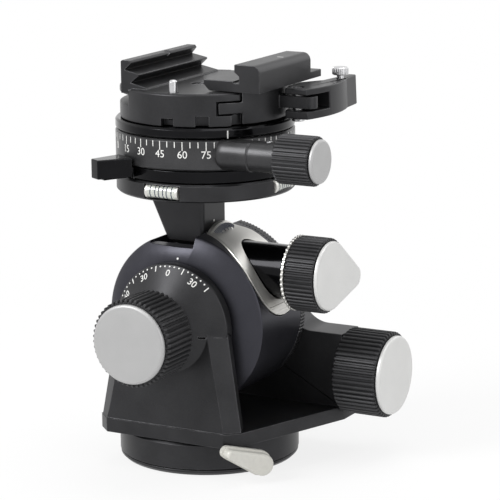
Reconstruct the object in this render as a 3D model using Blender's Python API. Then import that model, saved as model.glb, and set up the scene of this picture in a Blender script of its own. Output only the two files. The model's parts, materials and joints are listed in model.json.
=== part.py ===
"""Geared tripod head with two tilt axes, a panning base and a panning quick-release clamp.

Metres, +Z up. The origin is the centre of the base's underside. -Y is the front, where the
front knob sits, and +X is the side of the two right-hand knobs.
"""
import math

import bmesh
import bpy
from mathutils import Matrix, Vector

# Clearances and facets
GAP = 0.0003
PLAY = 0.0006
OVERRUN = 0.002
SIDES_LARGE = 48
SIDES_MEDIUM = 32
SIDES_SMALL = 16
SIDES_TINY = 12
CORNER_STEPS = 4

# Fixed puck of the panning base
HOUSING_RADIUS = 0.0300
PUCK_RIM_INSET = 0.0002
PUCK_RADIUS = HOUSING_RADIUS - PUCK_RIM_INSET
PUCK_FLANGE_HEIGHT = 0.0018
PUCK_EDGE = 0.0010
HOUSING_WALL = 0.0062
RETAINER_RADIUS = HOUSING_RADIUS - HOUSING_WALL
RETAINER_LEDGE = 0.0038
PUCK_DRUM_RADIUS = RETAINER_RADIUS - RETAINER_LEDGE
PUCK_DRUM_TOP = 0.0081
RETAINER_HEIGHT = 0.0022
INSERT_RADIUS = 0.0062
INSERT_BORE = 0.0045
INSERT_FLANGE_RADIUS = 0.0095
INSERT_FLANGE_HEIGHT = 0.0010

# Turning base housing and its lock
HOUSING_TOP = PUCK_DRUM_TOP + GAP + RETAINER_HEIGHT + GAP
HOUSING_EDGE = 0.0008
LOCK_AZIMUTH = math.radians(54.1)
LOCK_HEIGHT = 0.0059
LOCK_LEVER_CLEARANCE = 0.0069
LOCK_LEVER_START = HOUSING_RADIUS + LOCK_LEVER_CLEARANCE
LOCK_PLATE = 0.0018
LOCK_CAP = 0.0035
LOCK_CAP_INSET = 0.0006
LOCK_HUB_RADIUS = 0.0041
LOCK_TIP_RADIUS = 0.0021
LOCK_REACH = 0.0124
LOCK_SLOPE = math.radians(23.9)
LOCK_SCREW_RADIUS = 0.0018
LOCK_SHOE_RADIUS = 0.0017
LOCK_SHOE_LENGTH = 0.0036

# Main frame: plate, front upright, rear upright with gear box
PLATE_BOTTOM = HOUSING_TOP + GAP
PLATE_THICKNESS = 0.0048
PLATE_TOP = PLATE_BOTTOM + PLATE_THICKNESS
PLATE_FRONT = HOUSING_RADIUS
PLATE_FRONT_HALF = 0.0219
PLATE_CHAMFER_X = 0.0264
PLATE_CHAMFER_Y = 0.0258
PLATE_WING_X = 0.0420
PLATE_WING_FRONT_Y = 0.0175
PLATE_LEFT_REAR_X = 0.0220
BARREL_RADIUS = 0.0286
BARREL_CLEARANCE = 0.00365
TILT_HEIGHT = PLATE_TOP + BARREL_CLEARANCE + BARREL_RADIUS
UPRIGHT_BACK = 0.0206
UPRIGHT_TOP_FRONT_DEPTH = 0.0071
UPRIGHT_TOP_FRONT = UPRIGHT_BACK + UPRIGHT_TOP_FRONT_DEPTH
UPRIGHT_TOP_HALF = 0.0148
UPRIGHT_FOOT_INSET = 0.0002
UPRIGHT_BACK_BEVEL = 0.0017
DIAL_RADIUS = 0.0206
DIAL_RIM_DEPTH = 0.0034
DIAL_RIM_FRONT = UPRIGHT_BACK + DIAL_RIM_DEPTH
DIAL_INNER_RADIUS = 0.0150
DIAL_CONE_DEPTH = 0.0040
DIAL_FACE = DIAL_RIM_FRONT + DIAL_CONE_DEPTH
FRONT_BOSS_FOOT_RADIUS = 0.0138
FRONT_BOSS_RADIUS = 0.0112
FRONT_BOSS_LENGTH = 0.0030
FRONT_BOSS_END = DIAL_FACE + FRONT_BOSS_LENGTH
REAR_UPRIGHT_RADIUS = 0.0210
REAR_UPRIGHT_DEPTH = 0.0128
GEARBOX_HEIGHT = 0.0250
GEARBOX_TOP = PLATE_TOP + GEARBOX_HEIGHT
GEARBOX_FILLET = 0.0100

# Barrel, which tilts about Y at TILT_HEIGHT
BARREL_RIM_EDGE = 0.0007
BARREL_CONE_DROP = 0.0088
BARREL_CONE_RADIUS = BARREL_RADIUS - BARREL_CONE_DROP
BARREL_FRONT = UPRIGHT_BACK - GAP
BARREL_CONE_DEPTH = 0.0055
BARREL_RIM_FRONT = BARREL_FRONT - BARREL_CONE_DEPTH
BARREL_REAR = 0.0120
BARREL_WALL = 0.0040
BARREL_CAVITY_RADIUS = BARREL_RADIUS - BARREL_WALL
BARREL_FRONT_WALL = 0.0075
BARREL_CAVITY_FRONT = BARREL_FRONT - BARREL_FRONT_WALL
BARREL_REAR_WALL = 0.0025
BARREL_CAVITY_REAR = BARREL_REAR - BARREL_REAR_WALL
SLOT_LEFT = 0.0128
SLOT_RIGHT = 0.0043
SLOT_DEPTH = 0.00465
SLOT_FLOOR = TILT_HEIGHT + BARREL_RADIUS - SLOT_DEPTH
SLOT_REAR_FLOOR_DROP = 0.0032
SLOT_REAR_FLOOR = SLOT_FLOOR - SLOT_REAR_FLOOR_DROP
RIM_RADIUS = BARREL_RADIUS
RIM_THICKNESS = 0.0030
RIM_TOOTH_DEPTH = 0.0008
RIM_WALL = 0.0081
RIM_BORE = RIM_RADIUS - RIM_WALL
RIM_TEETH = 54
AXLE_RADIUS = 0.0050
AXLE_SCREW_RADIUS = 0.0035
BUSH_WALL = 0.0018
AXLE_NUT_RADIUS = 0.0078
AXLE_NUT_HEIGHT = 0.0026

# Worm gear of the main tilt
WORM_BEHIND_BARREL = 0.0087
WORM_Y = BARREL_REAR + WORM_BEHIND_BARREL
WORM_DROP = 0.02035
WORM_HEIGHT = TILT_HEIGHT - WORM_DROP
WORM_RADIUS = 0.0042
WORM_ROOT = 0.0034
WORM_HALF_LENGTH = 0.0080
WORM_TURNS = 5
WORM_SHAFT_RADIUS = 0.0030
WORM_TAIL = 0.0046
WORM_BUSH_LENGTH = 0.0092
WORM_BORE = 0.0046
WHEEL_RADIUS = 0.0156
WHEEL_ROOT = 0.0148
WHEEL_HALF_WIDTH = 0.0025
WHEEL_TEETH = 36
REAR_COVER_RADIUS = 0.0192
REAR_COVER_THICKNESS = 0.0020
REAR_CHAMBER_RADIUS = 0.0164
REAR_WALL = 0.0016
COVER_SPIGOT = 0.0018
SPANNER_HOLE_CIRCLE = 0.0130
SPANNER_HOLE_RADIUS = 0.0011
SPANNER_HOLE_DEPTH = 0.0012

# Large knobs
KNOB_RADIUS = 0.0143
KNOB_RIB_DEPTH = 0.0008
KNOB_RIBS = 36
KNOB_CAP_THICKNESS = 0.0016
KNOB_CAP_EDGE = 0.0005
FRONT_KNOB_CAP_RADIUS = 0.0129
FRONT_KNOB_LENGTH = 0.0176
WASHER_THICKNESS = 0.0005
WASHER_CLEARANCE = 0.0001
FRONT_KNOB_START = FRONT_BOSS_END + WASHER_CLEARANCE + WASHER_THICKNESS + GAP
FRONT_KNOB_FACE = FRONT_KNOB_START + FRONT_KNOB_LENGTH + GAP + KNOB_CAP_THICKNESS
LOWER_KNOB_CAP_RADIUS = 0.0131
LOWER_KNOB_LENGTH = 0.0152
LOWER_KNOB_CLEARANCE = 0.0005
LOWER_KNOB_FACE = PLATE_WING_X + LOWER_KNOB_CLEARANCE + LOWER_KNOB_LENGTH + GAP + KNOB_CAP_THICKNESS
KNOB_STUD_RADIUS = 0.0026
KNOB_STUD_LENGTH = 0.0020

# Second tilt, which rocks about X at ROCK_HEIGHT
ROCK_DEPTH = 0.01235
ROCK_HEIGHT = TILT_HEIGHT + BARREL_RADIUS - ROCK_DEPTH
SADDLE_RADIUS = 0.0145
SADDLE_PROUD = 0.0003
SADDLE_REAR = 0.0102
SADDLE_NOSE_END = 0.0090
SADDLE_NOSE_RADIUS = 0.0110
SADDLE_FLANGE = 0.0012
TUBE_RADIUS = 0.0088
TUBE_BORE = 0.0066
TUBE_START = 0.0140
TUBE_END = 0.0334
TUBE_WASHER_RADIUS = 0.0124
TUBE_WASHER_THICKNESS = 0.0008
ROCK_AXLE_RADIUS = 0.0025
ROCK_HUB_RADIUS = 0.0066
ROCK_HUB_LEFT = 0.0076
GEAR_PLATE_THICKNESS = 0.0022
GEAR_PLATE_RIGHT = 0.0054
GEAR_PLATE_LEFT = 0.0136
GEAR_PLATE_BOTTOM = 0.0052
SECTOR_RADIUS = 0.0066
SECTOR_ROOT = 0.0058
SECTOR_TEETH = 26
SECTOR_LEFT = 0.0110
SECTOR_WIDTH = 0.0029
PINION_RADIUS = 0.0021
PINION_TEETH = 10
TOOTH_DEPTH = 0.0005
TOOTH_CLEARANCE = 0.0004
GEAR_CENTRES = SECTOR_RADIUS + PINION_RADIUS + TOOTH_CLEARANCE
IDLER_LEFT = 0.0098
IDLER_WIDTH = 0.0032
LAYSHAFT_RADIUS = 0.0014
KNOB_SHAFT_RADIUS = 0.0024

# Teardrop knob
LOBE_KNOB_RADIUS = 0.0123
LOBE_KNOB_LENGTH = 0.0102
LOBE_KNOB_RIBS = 30
LOBE_RIB_DEPTH = 0.0006
LOBE_TIP_RADIUS = 0.0045
LOBE_REACH = 0.0180
LOBE_DROOP = math.radians(12)
LOBE_CAP_THICKNESS = 0.0012
LOBE_CAP_INSET = 0.0008
LOBE_TIP_STEPS = 6

# Rocking stem
STEM_RIGHT = 0.0031
STEM_HALF_DEPTH = 0.0080
STEM_RISE = 0.0255
STEM_TOP = ROCK_HEIGHT + STEM_RISE
STEM_NECK_RISE = 0.0095
STEM_NECK_HEIGHT = ROCK_HEIGHT + STEM_NECK_RISE
STEM_NECK_LEFT = 0.0111
STEM_HEAD_LEFT = 0.0181
STEM_CORNER = 0.0020

# Upper panning unit
PAN_RADIUS = 0.0294
PAN_PLATE_BOTTOM = STEM_TOP + GAP
PAN_PLATE_THICKNESS = 0.0058
PAN_PLATE_TOP = PAN_PLATE_BOTTOM + PAN_PLATE_THICKNESS
PAN_EDGE = 0.0006
VIAL_RADIUS = 0.0021
VIAL_LENGTH = 0.0124
VIAL_SEAT = PAN_RADIUS - VIAL_RADIUS
RELEASE_HEIGHT = 0.0042
RELEASE_TOP = PAN_PLATE_TOP + RELEASE_HEIGHT
RELEASE_RIM_INSET = 0.0009
RELEASE_RADIUS = PAN_RADIUS - RELEASE_RIM_INSET
RELEASE_RING_WIDTH = 0.0095
RELEASE_BORE = RELEASE_RADIUS - RELEASE_RING_WIDTH
RELEASE_BORE_CLEARANCE = 0.0004
PAN_BOSS_RADIUS = RELEASE_BORE - RELEASE_BORE_CLEARANCE
RELEASE_TAB_AZIMUTH = math.radians(240.5)
RELEASE_TAB_REACH = 0.0121
RELEASE_TAB_END = PAN_RADIUS + RELEASE_TAB_REACH
RELEASE_TAB_HALF_WIDTH = 0.0022
RELEASE_TAB_ROOT_HALF = 0.0044
RELEASE_TAB_DROP = 0.0003
RELEASE_TAB_BOTTOM = PAN_PLATE_TOP - RELEASE_TAB_DROP
RELEASE_TAB_RISE = 0.0015
RELEASE_TAB_TOP = RELEASE_TOP + RELEASE_TAB_RISE
RING_RISE = 0.0102
RING_TOP = RELEASE_TOP + RING_RISE
RING_WALL = 0.0114
RING_CHAMBER_RADIUS = PAN_RADIUS - RING_WALL
RING_FLOOR = 0.0014
INDEX_RISE = 0.0037
INDEX_TOP = RING_TOP + INDEX_RISE
INDEX_RADIUS = PAN_RADIUS
PAN_SPINDLE_RADIUS = 0.0068
PAN_SPINDLE_DROP = 0.0027
PAN_SPINDLE_BOTTOM = RELEASE_TOP - PAN_SPINDLE_DROP
PAN_NUT_RADIUS = 0.0102
PAN_NUT_HEIGHT = 0.0022
PAN_WHEEL_CLEARANCE = 0.0008
PAN_WHEEL_RADIUS = RING_CHAMBER_RADIUS - PAN_WHEEL_CLEARANCE
PAN_WHEEL_TOOTH_DEPTH = 0.0007
PAN_WHEEL_ROOT = PAN_WHEEL_RADIUS - PAN_WHEEL_TOOTH_DEPTH
PAN_WHEEL_TEETH = 36
PAN_WHEEL_THICKNESS = 0.0048
PAN_HUB_RADIUS = 0.0120
PAN_WORM_RISE = 0.0057
PAN_WORM_HEIGHT = RELEASE_TOP + PAN_WORM_RISE
PAN_WORM_RADIUS = 0.0032
PAN_WORM_Y = PAN_WHEEL_RADIUS + PAN_WORM_RADIUS + PLAY
PAN_WORM_ROOT = 0.0026
PAN_WORM_HALF_LENGTH = 0.0060
PAN_WORM_TURNS = 4
PAN_WORM_BORE = 0.0036
PAN_SHAFT_RADIUS = 0.0020
PAN_FAIRING_RADIUS = 0.0052
PAN_FAIRING_START = 0.0140
PAN_FAIRING_END = 0.0290
PAN_COLLAR_RADIUS = 0.0050
PAN_COLLAR_LENGTH = 0.0100
PAN_COLLAR_END = PAN_FAIRING_END + PAN_COLLAR_LENGTH
PAN_KNOB_RADIUS = 0.0079
PAN_KNOB_CLEARANCE = 0.0004
PAN_KNOB_START = PAN_COLLAR_END + PAN_KNOB_CLEARANCE
PAN_KNOB_LENGTH = 0.0124
PAN_KNOB_RIBS = 26
PAN_KNOB_RIB_DEPTH = 0.0006
PAN_KNOB_CAP_RADIUS = 0.0070
PAN_KNOB_CAP_THICKNESS = 0.0014
PAN_SCREW_INSET = 0.0040
PAN_SCREW_X = PAN_COLLAR_END - PAN_SCREW_INSET
PAN_SCREW_RADIUS = 0.0011

# Quick-release clamp
CLAMP_RIM_INSET = 0.0017
CLAMP_RADIUS = PAN_RADIUS - CLAMP_RIM_INSET
CLAMP_BOTTOM = INDEX_TOP + GAP
CLAMP_HEIGHT = 0.0105
CLAMP_FLOOR = CLAMP_BOTTOM + CLAMP_HEIGHT
CLAMP_SEGMENT = 0.0054
CLAMP_SPLIT = CLAMP_RADIUS - CLAMP_SEGMENT
CLAMP_SIDE_CUT = 0.0150
CLAMP_SIDE_CUT_RISE = 0.0049
CLAMP_SIDE_CUT_BOTTOM = CLAMP_BOTTOM + CLAMP_SIDE_CUT_RISE
CLAMP_SIDE_CUT_HEIGHT = 0.0034
CLAMP_SIDE_CUT_TOP = CLAMP_SIDE_CUT_BOTTOM + CLAMP_SIDE_CUT_HEIGHT
CLAMP_NOTCHES = 15
CLAMP_NOTCH_WIDTH = 0.0042
CLAMP_NOTCH_HEIGHT = 0.0024
CLAMP_NOTCH_DEPTH = 0.0025
CLAMP_NOTCH_TURN = math.radians(-86.4)
RAIL_HEIGHT = 0.0091
CLAMP_TOP = CLAMP_FLOOR + RAIL_HEIGHT
RAIL_FRONT = 0.0235
RAIL_FOOT_REAR = 0.0243
RAIL_TOP_REAR = 0.0187
RAIL_OUTER = 0.0176
RAIL_LIP = 0.0137
RAIL_UPPER_APEX = 0.0161
RAIL_UPPER_APEX_DROP = 0.0031
RAIL_UPPER_APEX_HEIGHT = CLAMP_TOP - RAIL_UPPER_APEX_DROP
RAIL_FIN = 0.0108
RAIL_FIN_DROP = 0.0012
RAIL_FIN_HEIGHT = RAIL_UPPER_APEX_HEIGHT - RAIL_FIN_DROP
RAIL_FIN_THICKNESS = 0.0005
RAIL_LOWER_APEX = 0.0139
RAIL_LOWER_APEX_RISE = 0.0019
RAIL_LOWER_APEX_HEIGHT = CLAMP_FLOOR + RAIL_LOWER_APEX_RISE
RAIL_LOWER_FIN = 0.0080
RAIL_LIP_THICKNESS = 0.0009
RAIL_NOTCH_HALF = 0.0014
RAIL_NOTCH_Y = 0.0010
JAW_FRONT = 0.0180
JAW_REAR = 0.0250
JAW_RAIL_REAR = 0.0175
JAW_LIP_DEPTH = 0.0025
JAW_APEX = CLAMP_SPLIT + GAP
JAW_LIP_REACH = 0.0017
JAW_LIP = JAW_APEX - JAW_LIP_REACH
JAW_APEX_DROP = 0.0038
JAW_OVERHANG = 0.0023
JAW_OUTER = CLAMP_RADIUS + JAW_OVERHANG
JAW_SLAB_WIDTH = 0.0128
JAW_SLAB_LEFT = JAW_APEX - JAW_SLAB_WIDTH
JAW_SLAB_RISE = 0.0038
JAW_SLAB_TOP = CLAMP_FLOOR + JAW_SLAB_RISE
JAW_RELIEF_DEPTH = 0.0006
JAW_SLAB_CHAMFER = 0.0019
JAW_TOP_ROUND = 0.0026
JAW_BLOCK_RISE = 0.0018
JAW_BLOCK_TOP = CLAMP_FLOOR + JAW_BLOCK_RISE
JAW_TONGUE_REACH = 0.0051
JAW_TONGUE_LEFT = CLAMP_SPLIT - JAW_TONGUE_REACH
JAW_TONGUE_RISE = 0.0039
JAW_TONGUE_BOTTOM = CLAMP_BOTTOM + JAW_TONGUE_RISE
JAW_TONGUE_THICKNESS = 0.0036
JAW_TONGUE_TOP = JAW_TONGUE_BOTTOM + JAW_TONGUE_THICKNESS
JAW_TONGUE_HALF = 0.0150
DRAW_BAR_RADIUS = 0.0012
DRAW_BAR_START = 0.0040
DRAW_BAR_SEAT = 0.0027
DRAW_BAR_END = CLAMP_SPLIT + DRAW_BAR_SEAT
LUG_BOTTOM = JAW_TONGUE_BOTTOM
LUG_THICKNESS = 0.0040
LUG_TOP = LUG_BOTTOM + LUG_THICKNESS
LUG_HALF_WIDTH = 0.0028
LEVER_PIVOT_REACH = 0.0055
LEVER_PIVOT_X = CLAMP_RADIUS + LEVER_PIVOT_REACH
LEVER_PIVOT_Y = 0.0022
LEVER_CLEARANCE = 0.0007
LEVER_BOTTOM = CLAMP_BOTTOM + LEVER_CLEARANCE
LEVER_TOP = CLAMP_FLOOR
LEVER_ARC_Y = 0.0130
LEVER_TOP_BULGE = 0.0072
LEVER_OUTER_TOP = LEVER_PIVOT_X + LEVER_TOP_BULGE
LEVER_BOTTOM_BULGE = 0.0096
LEVER_OUTER_BOTTOM = LEVER_PIVOT_X + LEVER_BOTTOM_BULGE
LEVER_ARC_END_Y = 0.0262
LEVER_TIP_INSET = 0.0031
LEVER_TIP_Y = 0.0350
LEVER_TIP_OFFSET = 0.0020
LEVER_TIP_INNER_X = LEVER_PIVOT_X + LEVER_TIP_OFFSET
LEVER_ARM_OFFSET = 0.0002
LEVER_ARM_X = LEVER_PIVOT_X + LEVER_ARM_OFFSET
LEVER_ARM_Y = 0.0192
LEVER_STEP_OFFSET = 0.0046
LEVER_STEP_X = LEVER_PIVOT_X - LEVER_STEP_OFFSET
LEVER_STEP_Y = 0.0119
LEVER_HEEL_OFFSET = 0.0027
LEVER_HEEL_X = LEVER_PIVOT_X - LEVER_HEEL_OFFSET
LEVER_HEEL_Y = 0.0045
LEVER_NEAR_Y = -0.0018
LEVER_SLOT_END_Y = 0.0095
LUG_REACH = 0.0067
LUG_TIP = LEVER_PIVOT_X + LUG_REACH
LEVER_PIN_RADIUS = 0.0016
LEVER_PIN_HEAD_RADIUS = 0.0021
LEVER_PIN_HEAD_DROP = 0.0026
LEVER_PIN_BOTTOM = LEVER_BOTTOM - LEVER_PIN_HEAD_DROP
LEVER_BUTTON_RADIUS = 0.0027
LEVER_BUTTON_STEM = 0.0012
LEVER_BUTTON_Y = 0.0245
LEVER_BUTTON_RISE = 0.0038
LEVER_BUTTON_TOP = LEVER_TOP + LEVER_BUTTON_RISE
LEVER_BUTTON_OFFSET = 0.0040
LEVER_BUTTON_X = LEVER_PIVOT_X + LEVER_BUTTON_OFFSET
LEVER_BUTTON_TRAVEL = 0.0010
LEVER_BUTTON_DEPTH = 0.0060
SAFETY_PIN_RADIUS = 0.00135
SAFETY_PIN_X = 0.0026
SAFETY_PIN_INSET = 0.0029
SAFETY_PIN_Y = -CLAMP_RADIUS + SAFETY_PIN_INSET
SAFETY_PIN_RISE = 0.0040
SAFETY_PIN_TOP = CLAMP_FLOOR + SAFETY_PIN_RISE
SAFETY_PIN_TRAVEL = 0.0035
SAFETY_PIN_DEPTH = 0.0050
CLAMP_SCREW_HEAD = 0.0021
CLAMP_SCREW_SEAT = 0.0014
CLAMP_SCREW_RADIUS = 0.0012
CLAMP_SCREW_OFFSET = 0.0040
CLAMP_SCREW_DROP = 0.0095
CLAMP_SCREW_END = CLAMP_BOTTOM - CLAMP_SCREW_DROP
CLAMP_SCREW_HEX = 0.0011
CLAMP_SCREW_HEX_DEPTH = 0.0008

# Finishes: base colour, roughness, metallic
FINISHES = {
    "black_anodised": ((0.020, 0.020, 0.022), 0.42, 0.65),
    "blue_grey_anodised": ((0.060, 0.062, 0.075), 0.40, 0.70),
    "gloss_black": ((0.010, 0.010, 0.012), 0.16, 0.70),
    "knurl_black": ((0.018, 0.018, 0.018), 0.50, 0.40),
    "silver_anodised": ((0.62, 0.63, 0.63), 0.38, 0.85),
    "pearl_cap": ((0.56, 0.56, 0.55), 0.45, 0.60),
    "white_lacquer": ((0.72, 0.71, 0.67), 0.35, 0.10),
    "steel": ((0.55, 0.55, 0.56), 0.28, 1.00),
    "bronze": ((0.42, 0.27, 0.11), 0.40, 1.00),
    "vial_glass": ((0.80, 0.86, 0.62), 0.10, 0.00),
    "polymer": ((0.55, 0.53, 0.47), 0.55, 0.00),
}


def finish(name):
    """The named finish as a material, made once."""
    found = bpy.data.materials.get(name)
    if found:
        return found
    colour, roughness, metallic = FINISHES[name]
    material = bpy.data.materials.new(name)
    material.use_nodes = True
    shader = material.node_tree.nodes["Principled BSDF"]
    shader.inputs["Base Color"].default_value = (*colour, 1.0)
    shader.inputs["Roughness"].default_value = roughness
    shader.inputs["Metallic"].default_value = metallic
    material.diffuse_color = (*colour, 1.0)
    return material


# Shape helpers. An axis frame turns a shape's own Z to the named world axis.
AXIS_TURNS = {
    "X": Matrix(((0, 0, 1), (1, 0, 0), (0, 1, 0))).to_4x4(),
    "Y": Matrix(((0, 1, 0), (0, 0, 1), (1, 0, 0))).to_4x4(),
    "Z": Matrix.Identity(4),
}


def frame_at(axis, place=(0, 0, 0)):
    return Matrix.Translation(Vector(place)) @ AXIS_TURNS[axis]


def mesh_object(name, bm, frame=None):
    """A scene object from a bmesh, with its faces turned outwards."""
    if frame is not None:
        bmesh.ops.transform(bm, matrix=frame, verts=bm.verts)
    bmesh.ops.recalc_face_normals(bm, faces=bm.faces)
    mesh = bpy.data.meshes.new(name)
    bm.to_mesh(mesh)
    bm.free()
    made = bpy.data.objects.new(name, mesh)
    bpy.context.scene.collection.objects.link(made)
    return made


def turned(name, profile, frame=None, sides=SIDES_MEDIUM):
    """A turned solid from an outline of (radius, height) points.

    An outline that starts and ends on the axis gives a solid with flat ends, and any other
    outline is closed into a ring with a bore.
    """
    solid = profile[0][0] == 0
    turn = 2 * math.pi / sides
    bm = bmesh.new()
    loops = []
    for radius, height in (profile[1:-1] if solid else profile):
        loops.append([bm.verts.new((radius * math.cos(i * turn), radius * math.sin(i * turn),
                                    height)) for i in range(sides)])
    for here, there in zip(loops, loops[1:]):
        bridge(bm, here, there)
    if solid:
        bm.faces.new(loops[0])
        bm.faces.new(loops[-1])
    else:
        bridge(bm, loops[-1], loops[0])
    return mesh_object(name, bm, frame)


def bridge(bm, here, there):
    """A band of faces between two loops with equal numbers of points."""
    count = len(here)
    for i in range(count):
        j = (i + 1) % count
        bm.faces.new((here[i], here[j], there[j], there[i]))


def ring(name, inner, outer, low, high, frame=None, sides=SIDES_MEDIUM):
    """A plain turned ring, or a disc when inner is zero."""
    profile = [(inner, low), (outer, low), (outer, high), (inner, high)]
    return turned(name, profile, frame, sides)


def loft(name, sections, frame=None):
    """A closed solid through outlines with equal numbers of points."""
    bm = bmesh.new()
    loops = [[bm.verts.new(point) for point in section] for section in sections]
    for here, there in zip(loops, loops[1:]):
        bridge(bm, here, there)
    bm.faces.new(loops[0])
    bm.faces.new(loops[-1])
    return mesh_object(name, bm, frame)


def prism(name, outline, low, high, frame=None):
    """An outline of (x, y) points extruded from low to high."""
    return loft(name, [[(x, y, low) for x, y in outline],
                       [(x, y, high) for x, y in outline]], frame)


def block(name, low, high):
    """A box between two corners."""
    outline = [(low[0], low[1]), (high[0], low[1]), (high[0], high[1]), (low[0], high[1])]
    return prism(name, outline, low[2], high[2])


def arc(centre, radius, start, end, steps):
    """Points on an arc, both ends included."""
    angles = [start + (end - start) * i / steps for i in range(steps + 1)]
    return [(centre[0] + radius * math.cos(a), centre[1] + radius * math.sin(a))
            for a in angles]


def ribbed(radius, depth, count):
    """An outline with count V-shaped ribs on a circle."""
    turn = math.pi / count
    return [((radius - depth * (i % 2)) * math.cos(i * turn),
             (radius - depth * (i % 2)) * math.sin(i * turn)) for i in range(2 * count)]


def shape(base, add=(), cut=()):
    """Unite helper solids with the base, then cut helper solids out of it."""
    helpers = [("UNION", helper) for helper in add] + [("DIFFERENCE", helper) for helper in cut]
    for kind, helper in helpers:
        modifier = base.modifiers.new(kind.lower(), "BOOLEAN")
        modifier.operation = kind
        modifier.solver = "EXACT"
        modifier.object = helper
        helper.hide_render = True
        helper.display_type = "WIRE"
    depsgraph = bpy.context.evaluated_depsgraph_get()
    mesh = bpy.data.meshes.new_from_object(base.evaluated_get(depsgraph))
    base.modifiers.clear()
    base.data = mesh
    for _, helper in helpers:
        bpy.data.objects.remove(helper)
    return base


def pivot(name, place, parent=None):
    """An empty on a joint's axis, which carries the pieces of one moving body."""
    empty = bpy.data.objects.new(name, None)
    bpy.context.scene.collection.objects.link(empty)
    empty.location = Vector(place)
    empty["place"] = list(place)
    if parent is not None:
        empty.parent = parent
        empty.location = Vector(place) - Vector(parent["place"])
    return empty


def fit(piece, body, finish_name):
    """Give a piece its finish and hang it on its body, with its origin on the body's axis."""
    piece.data.transform(Matrix.Translation(-Vector(body["place"])))
    piece.parent = body
    piece.data.materials.clear()
    piece.data.materials.append(finish(finish_name))
    piece.data.shade_smooth()
    piece.data.set_sharp_from_angle(angle=math.radians(30))
    return piece


def worm_profile(root, crest, half_length, turns):
    """Outer side of a worm as a row of threads, as (radius, height) points."""
    pitch = 2 * half_length / turns
    points = [(root, -half_length)]
    for i in range(turns):
        start = -half_length + i * pitch
        points += [(crest, start + pitch / 3), (crest, start + 2 * pitch / 3),
                   (root, start + pitch)]
    return points


# Fixed base
def build_base(body):
    seat = INSERT_RADIUS + GAP
    puck = turned("base_puck", [
        (seat, 0), (PUCK_RADIUS - PUCK_EDGE, 0), (PUCK_RADIUS, PUCK_EDGE),
        (PUCK_RADIUS, PUCK_FLANGE_HEIGHT), (PUCK_DRUM_RADIUS, PUCK_FLANGE_HEIGHT),
        (PUCK_DRUM_RADIUS, PUCK_DRUM_TOP), (seat, PUCK_DRUM_TOP)], sides=SIDES_LARGE)
    low = PUCK_DRUM_TOP + GAP
    high = low + RETAINER_HEIGHT
    step = high - INSERT_FLANGE_HEIGHT
    flange_seat = INSERT_FLANGE_RADIUS + GAP
    retainer = turned("base_retainer", [
        (seat, low), (RETAINER_RADIUS, low), (RETAINER_RADIUS, high), (flange_seat, high),
        (flange_seat, step - GAP), (seat, step - GAP)])
    insert = turned("thread_insert", [
        (INSERT_BORE, GAP), (INSERT_RADIUS, GAP), (INSERT_RADIUS, step),
        (INSERT_FLANGE_RADIUS, step), (INSERT_FLANGE_RADIUS, high), (INSERT_BORE, high)],
        sides=SIDES_SMALL)
    fit(puck, body, "black_anodised")
    fit(retainer, body, "steel")
    fit(insert, body, "steel")


# Lever that locks the panning base: shapes stand on the hub's radial axis
def lock_frame():
    outward = Vector((math.sin(LOCK_AZIMUTH), -math.cos(LOCK_AZIMUTH), 0))
    sideways = Vector((math.cos(LOCK_AZIMUTH), math.sin(LOCK_AZIMUTH), 0))
    up = Vector((0, 0, 1))
    turn = Matrix((sideways, up, outward)).transposed().to_4x4()
    return Matrix.Translation(up * LOCK_HEIGHT) @ turn


def teardrop(hub_radius, tip_radius, reach, angle, hub_steps, tip_steps):
    """Outline of a hub circle and a smaller tip circle joined by their tangents."""
    spread = math.acos((hub_radius - tip_radius) / reach)
    tip = (reach * math.cos(angle), reach * math.sin(angle))
    around_hub = arc((0, 0), hub_radius, angle + spread, angle + 2 * math.pi - spread, hub_steps)
    around_tip = arc(tip, tip_radius, angle - spread, angle + spread, tip_steps)
    return around_hub + around_tip


def build_lock_lever(body):
    frame = lock_frame()
    outline = teardrop(LOCK_HUB_RADIUS, LOCK_TIP_RADIUS, LOCK_REACH, math.pi - LOCK_SLOPE,
                       SIDES_SMALL, SIDES_TINY // 2)
    inset = teardrop(LOCK_HUB_RADIUS - LOCK_CAP_INSET, LOCK_TIP_RADIUS - LOCK_CAP_INSET,
                     LOCK_REACH, math.pi - LOCK_SLOPE, SIDES_SMALL, SIDES_TINY // 2)
    face = teardrop(LOCK_HUB_RADIUS - 2 * LOCK_CAP_INSET, LOCK_TIP_RADIUS - 2 * LOCK_CAP_INSET,
                    LOCK_REACH, math.pi - LOCK_SLOPE, SIDES_SMALL, SIDES_TINY // 2)
    levels = [LOCK_LEVER_START, LOCK_LEVER_START + LOCK_PLATE,
              LOCK_LEVER_START + LOCK_PLATE + LOCK_CAP - LOCK_CAP_INSET,
              LOCK_LEVER_START + LOCK_PLATE + LOCK_CAP]
    outlines = [outline, outline, inset, inset, face]
    heights = [levels[0], levels[1], levels[1], levels[2], levels[3]]
    sections = [[(x, y, z) for x, y in points] for points, z in zip(outlines, heights)]
    lever = loft("base_lock_lever", sections, frame)
    screw_end = PUCK_DRUM_RADIUS + LOCK_SHOE_LENGTH + 2 * GAP
    screw = ring("base_lock_screw", 0, LOCK_SCREW_RADIUS, screw_end, LOCK_LEVER_START - GAP,
                 frame, SIDES_TINY)
    fit(lever, body, "white_lacquer")
    fit(screw, body, "steel")


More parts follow.
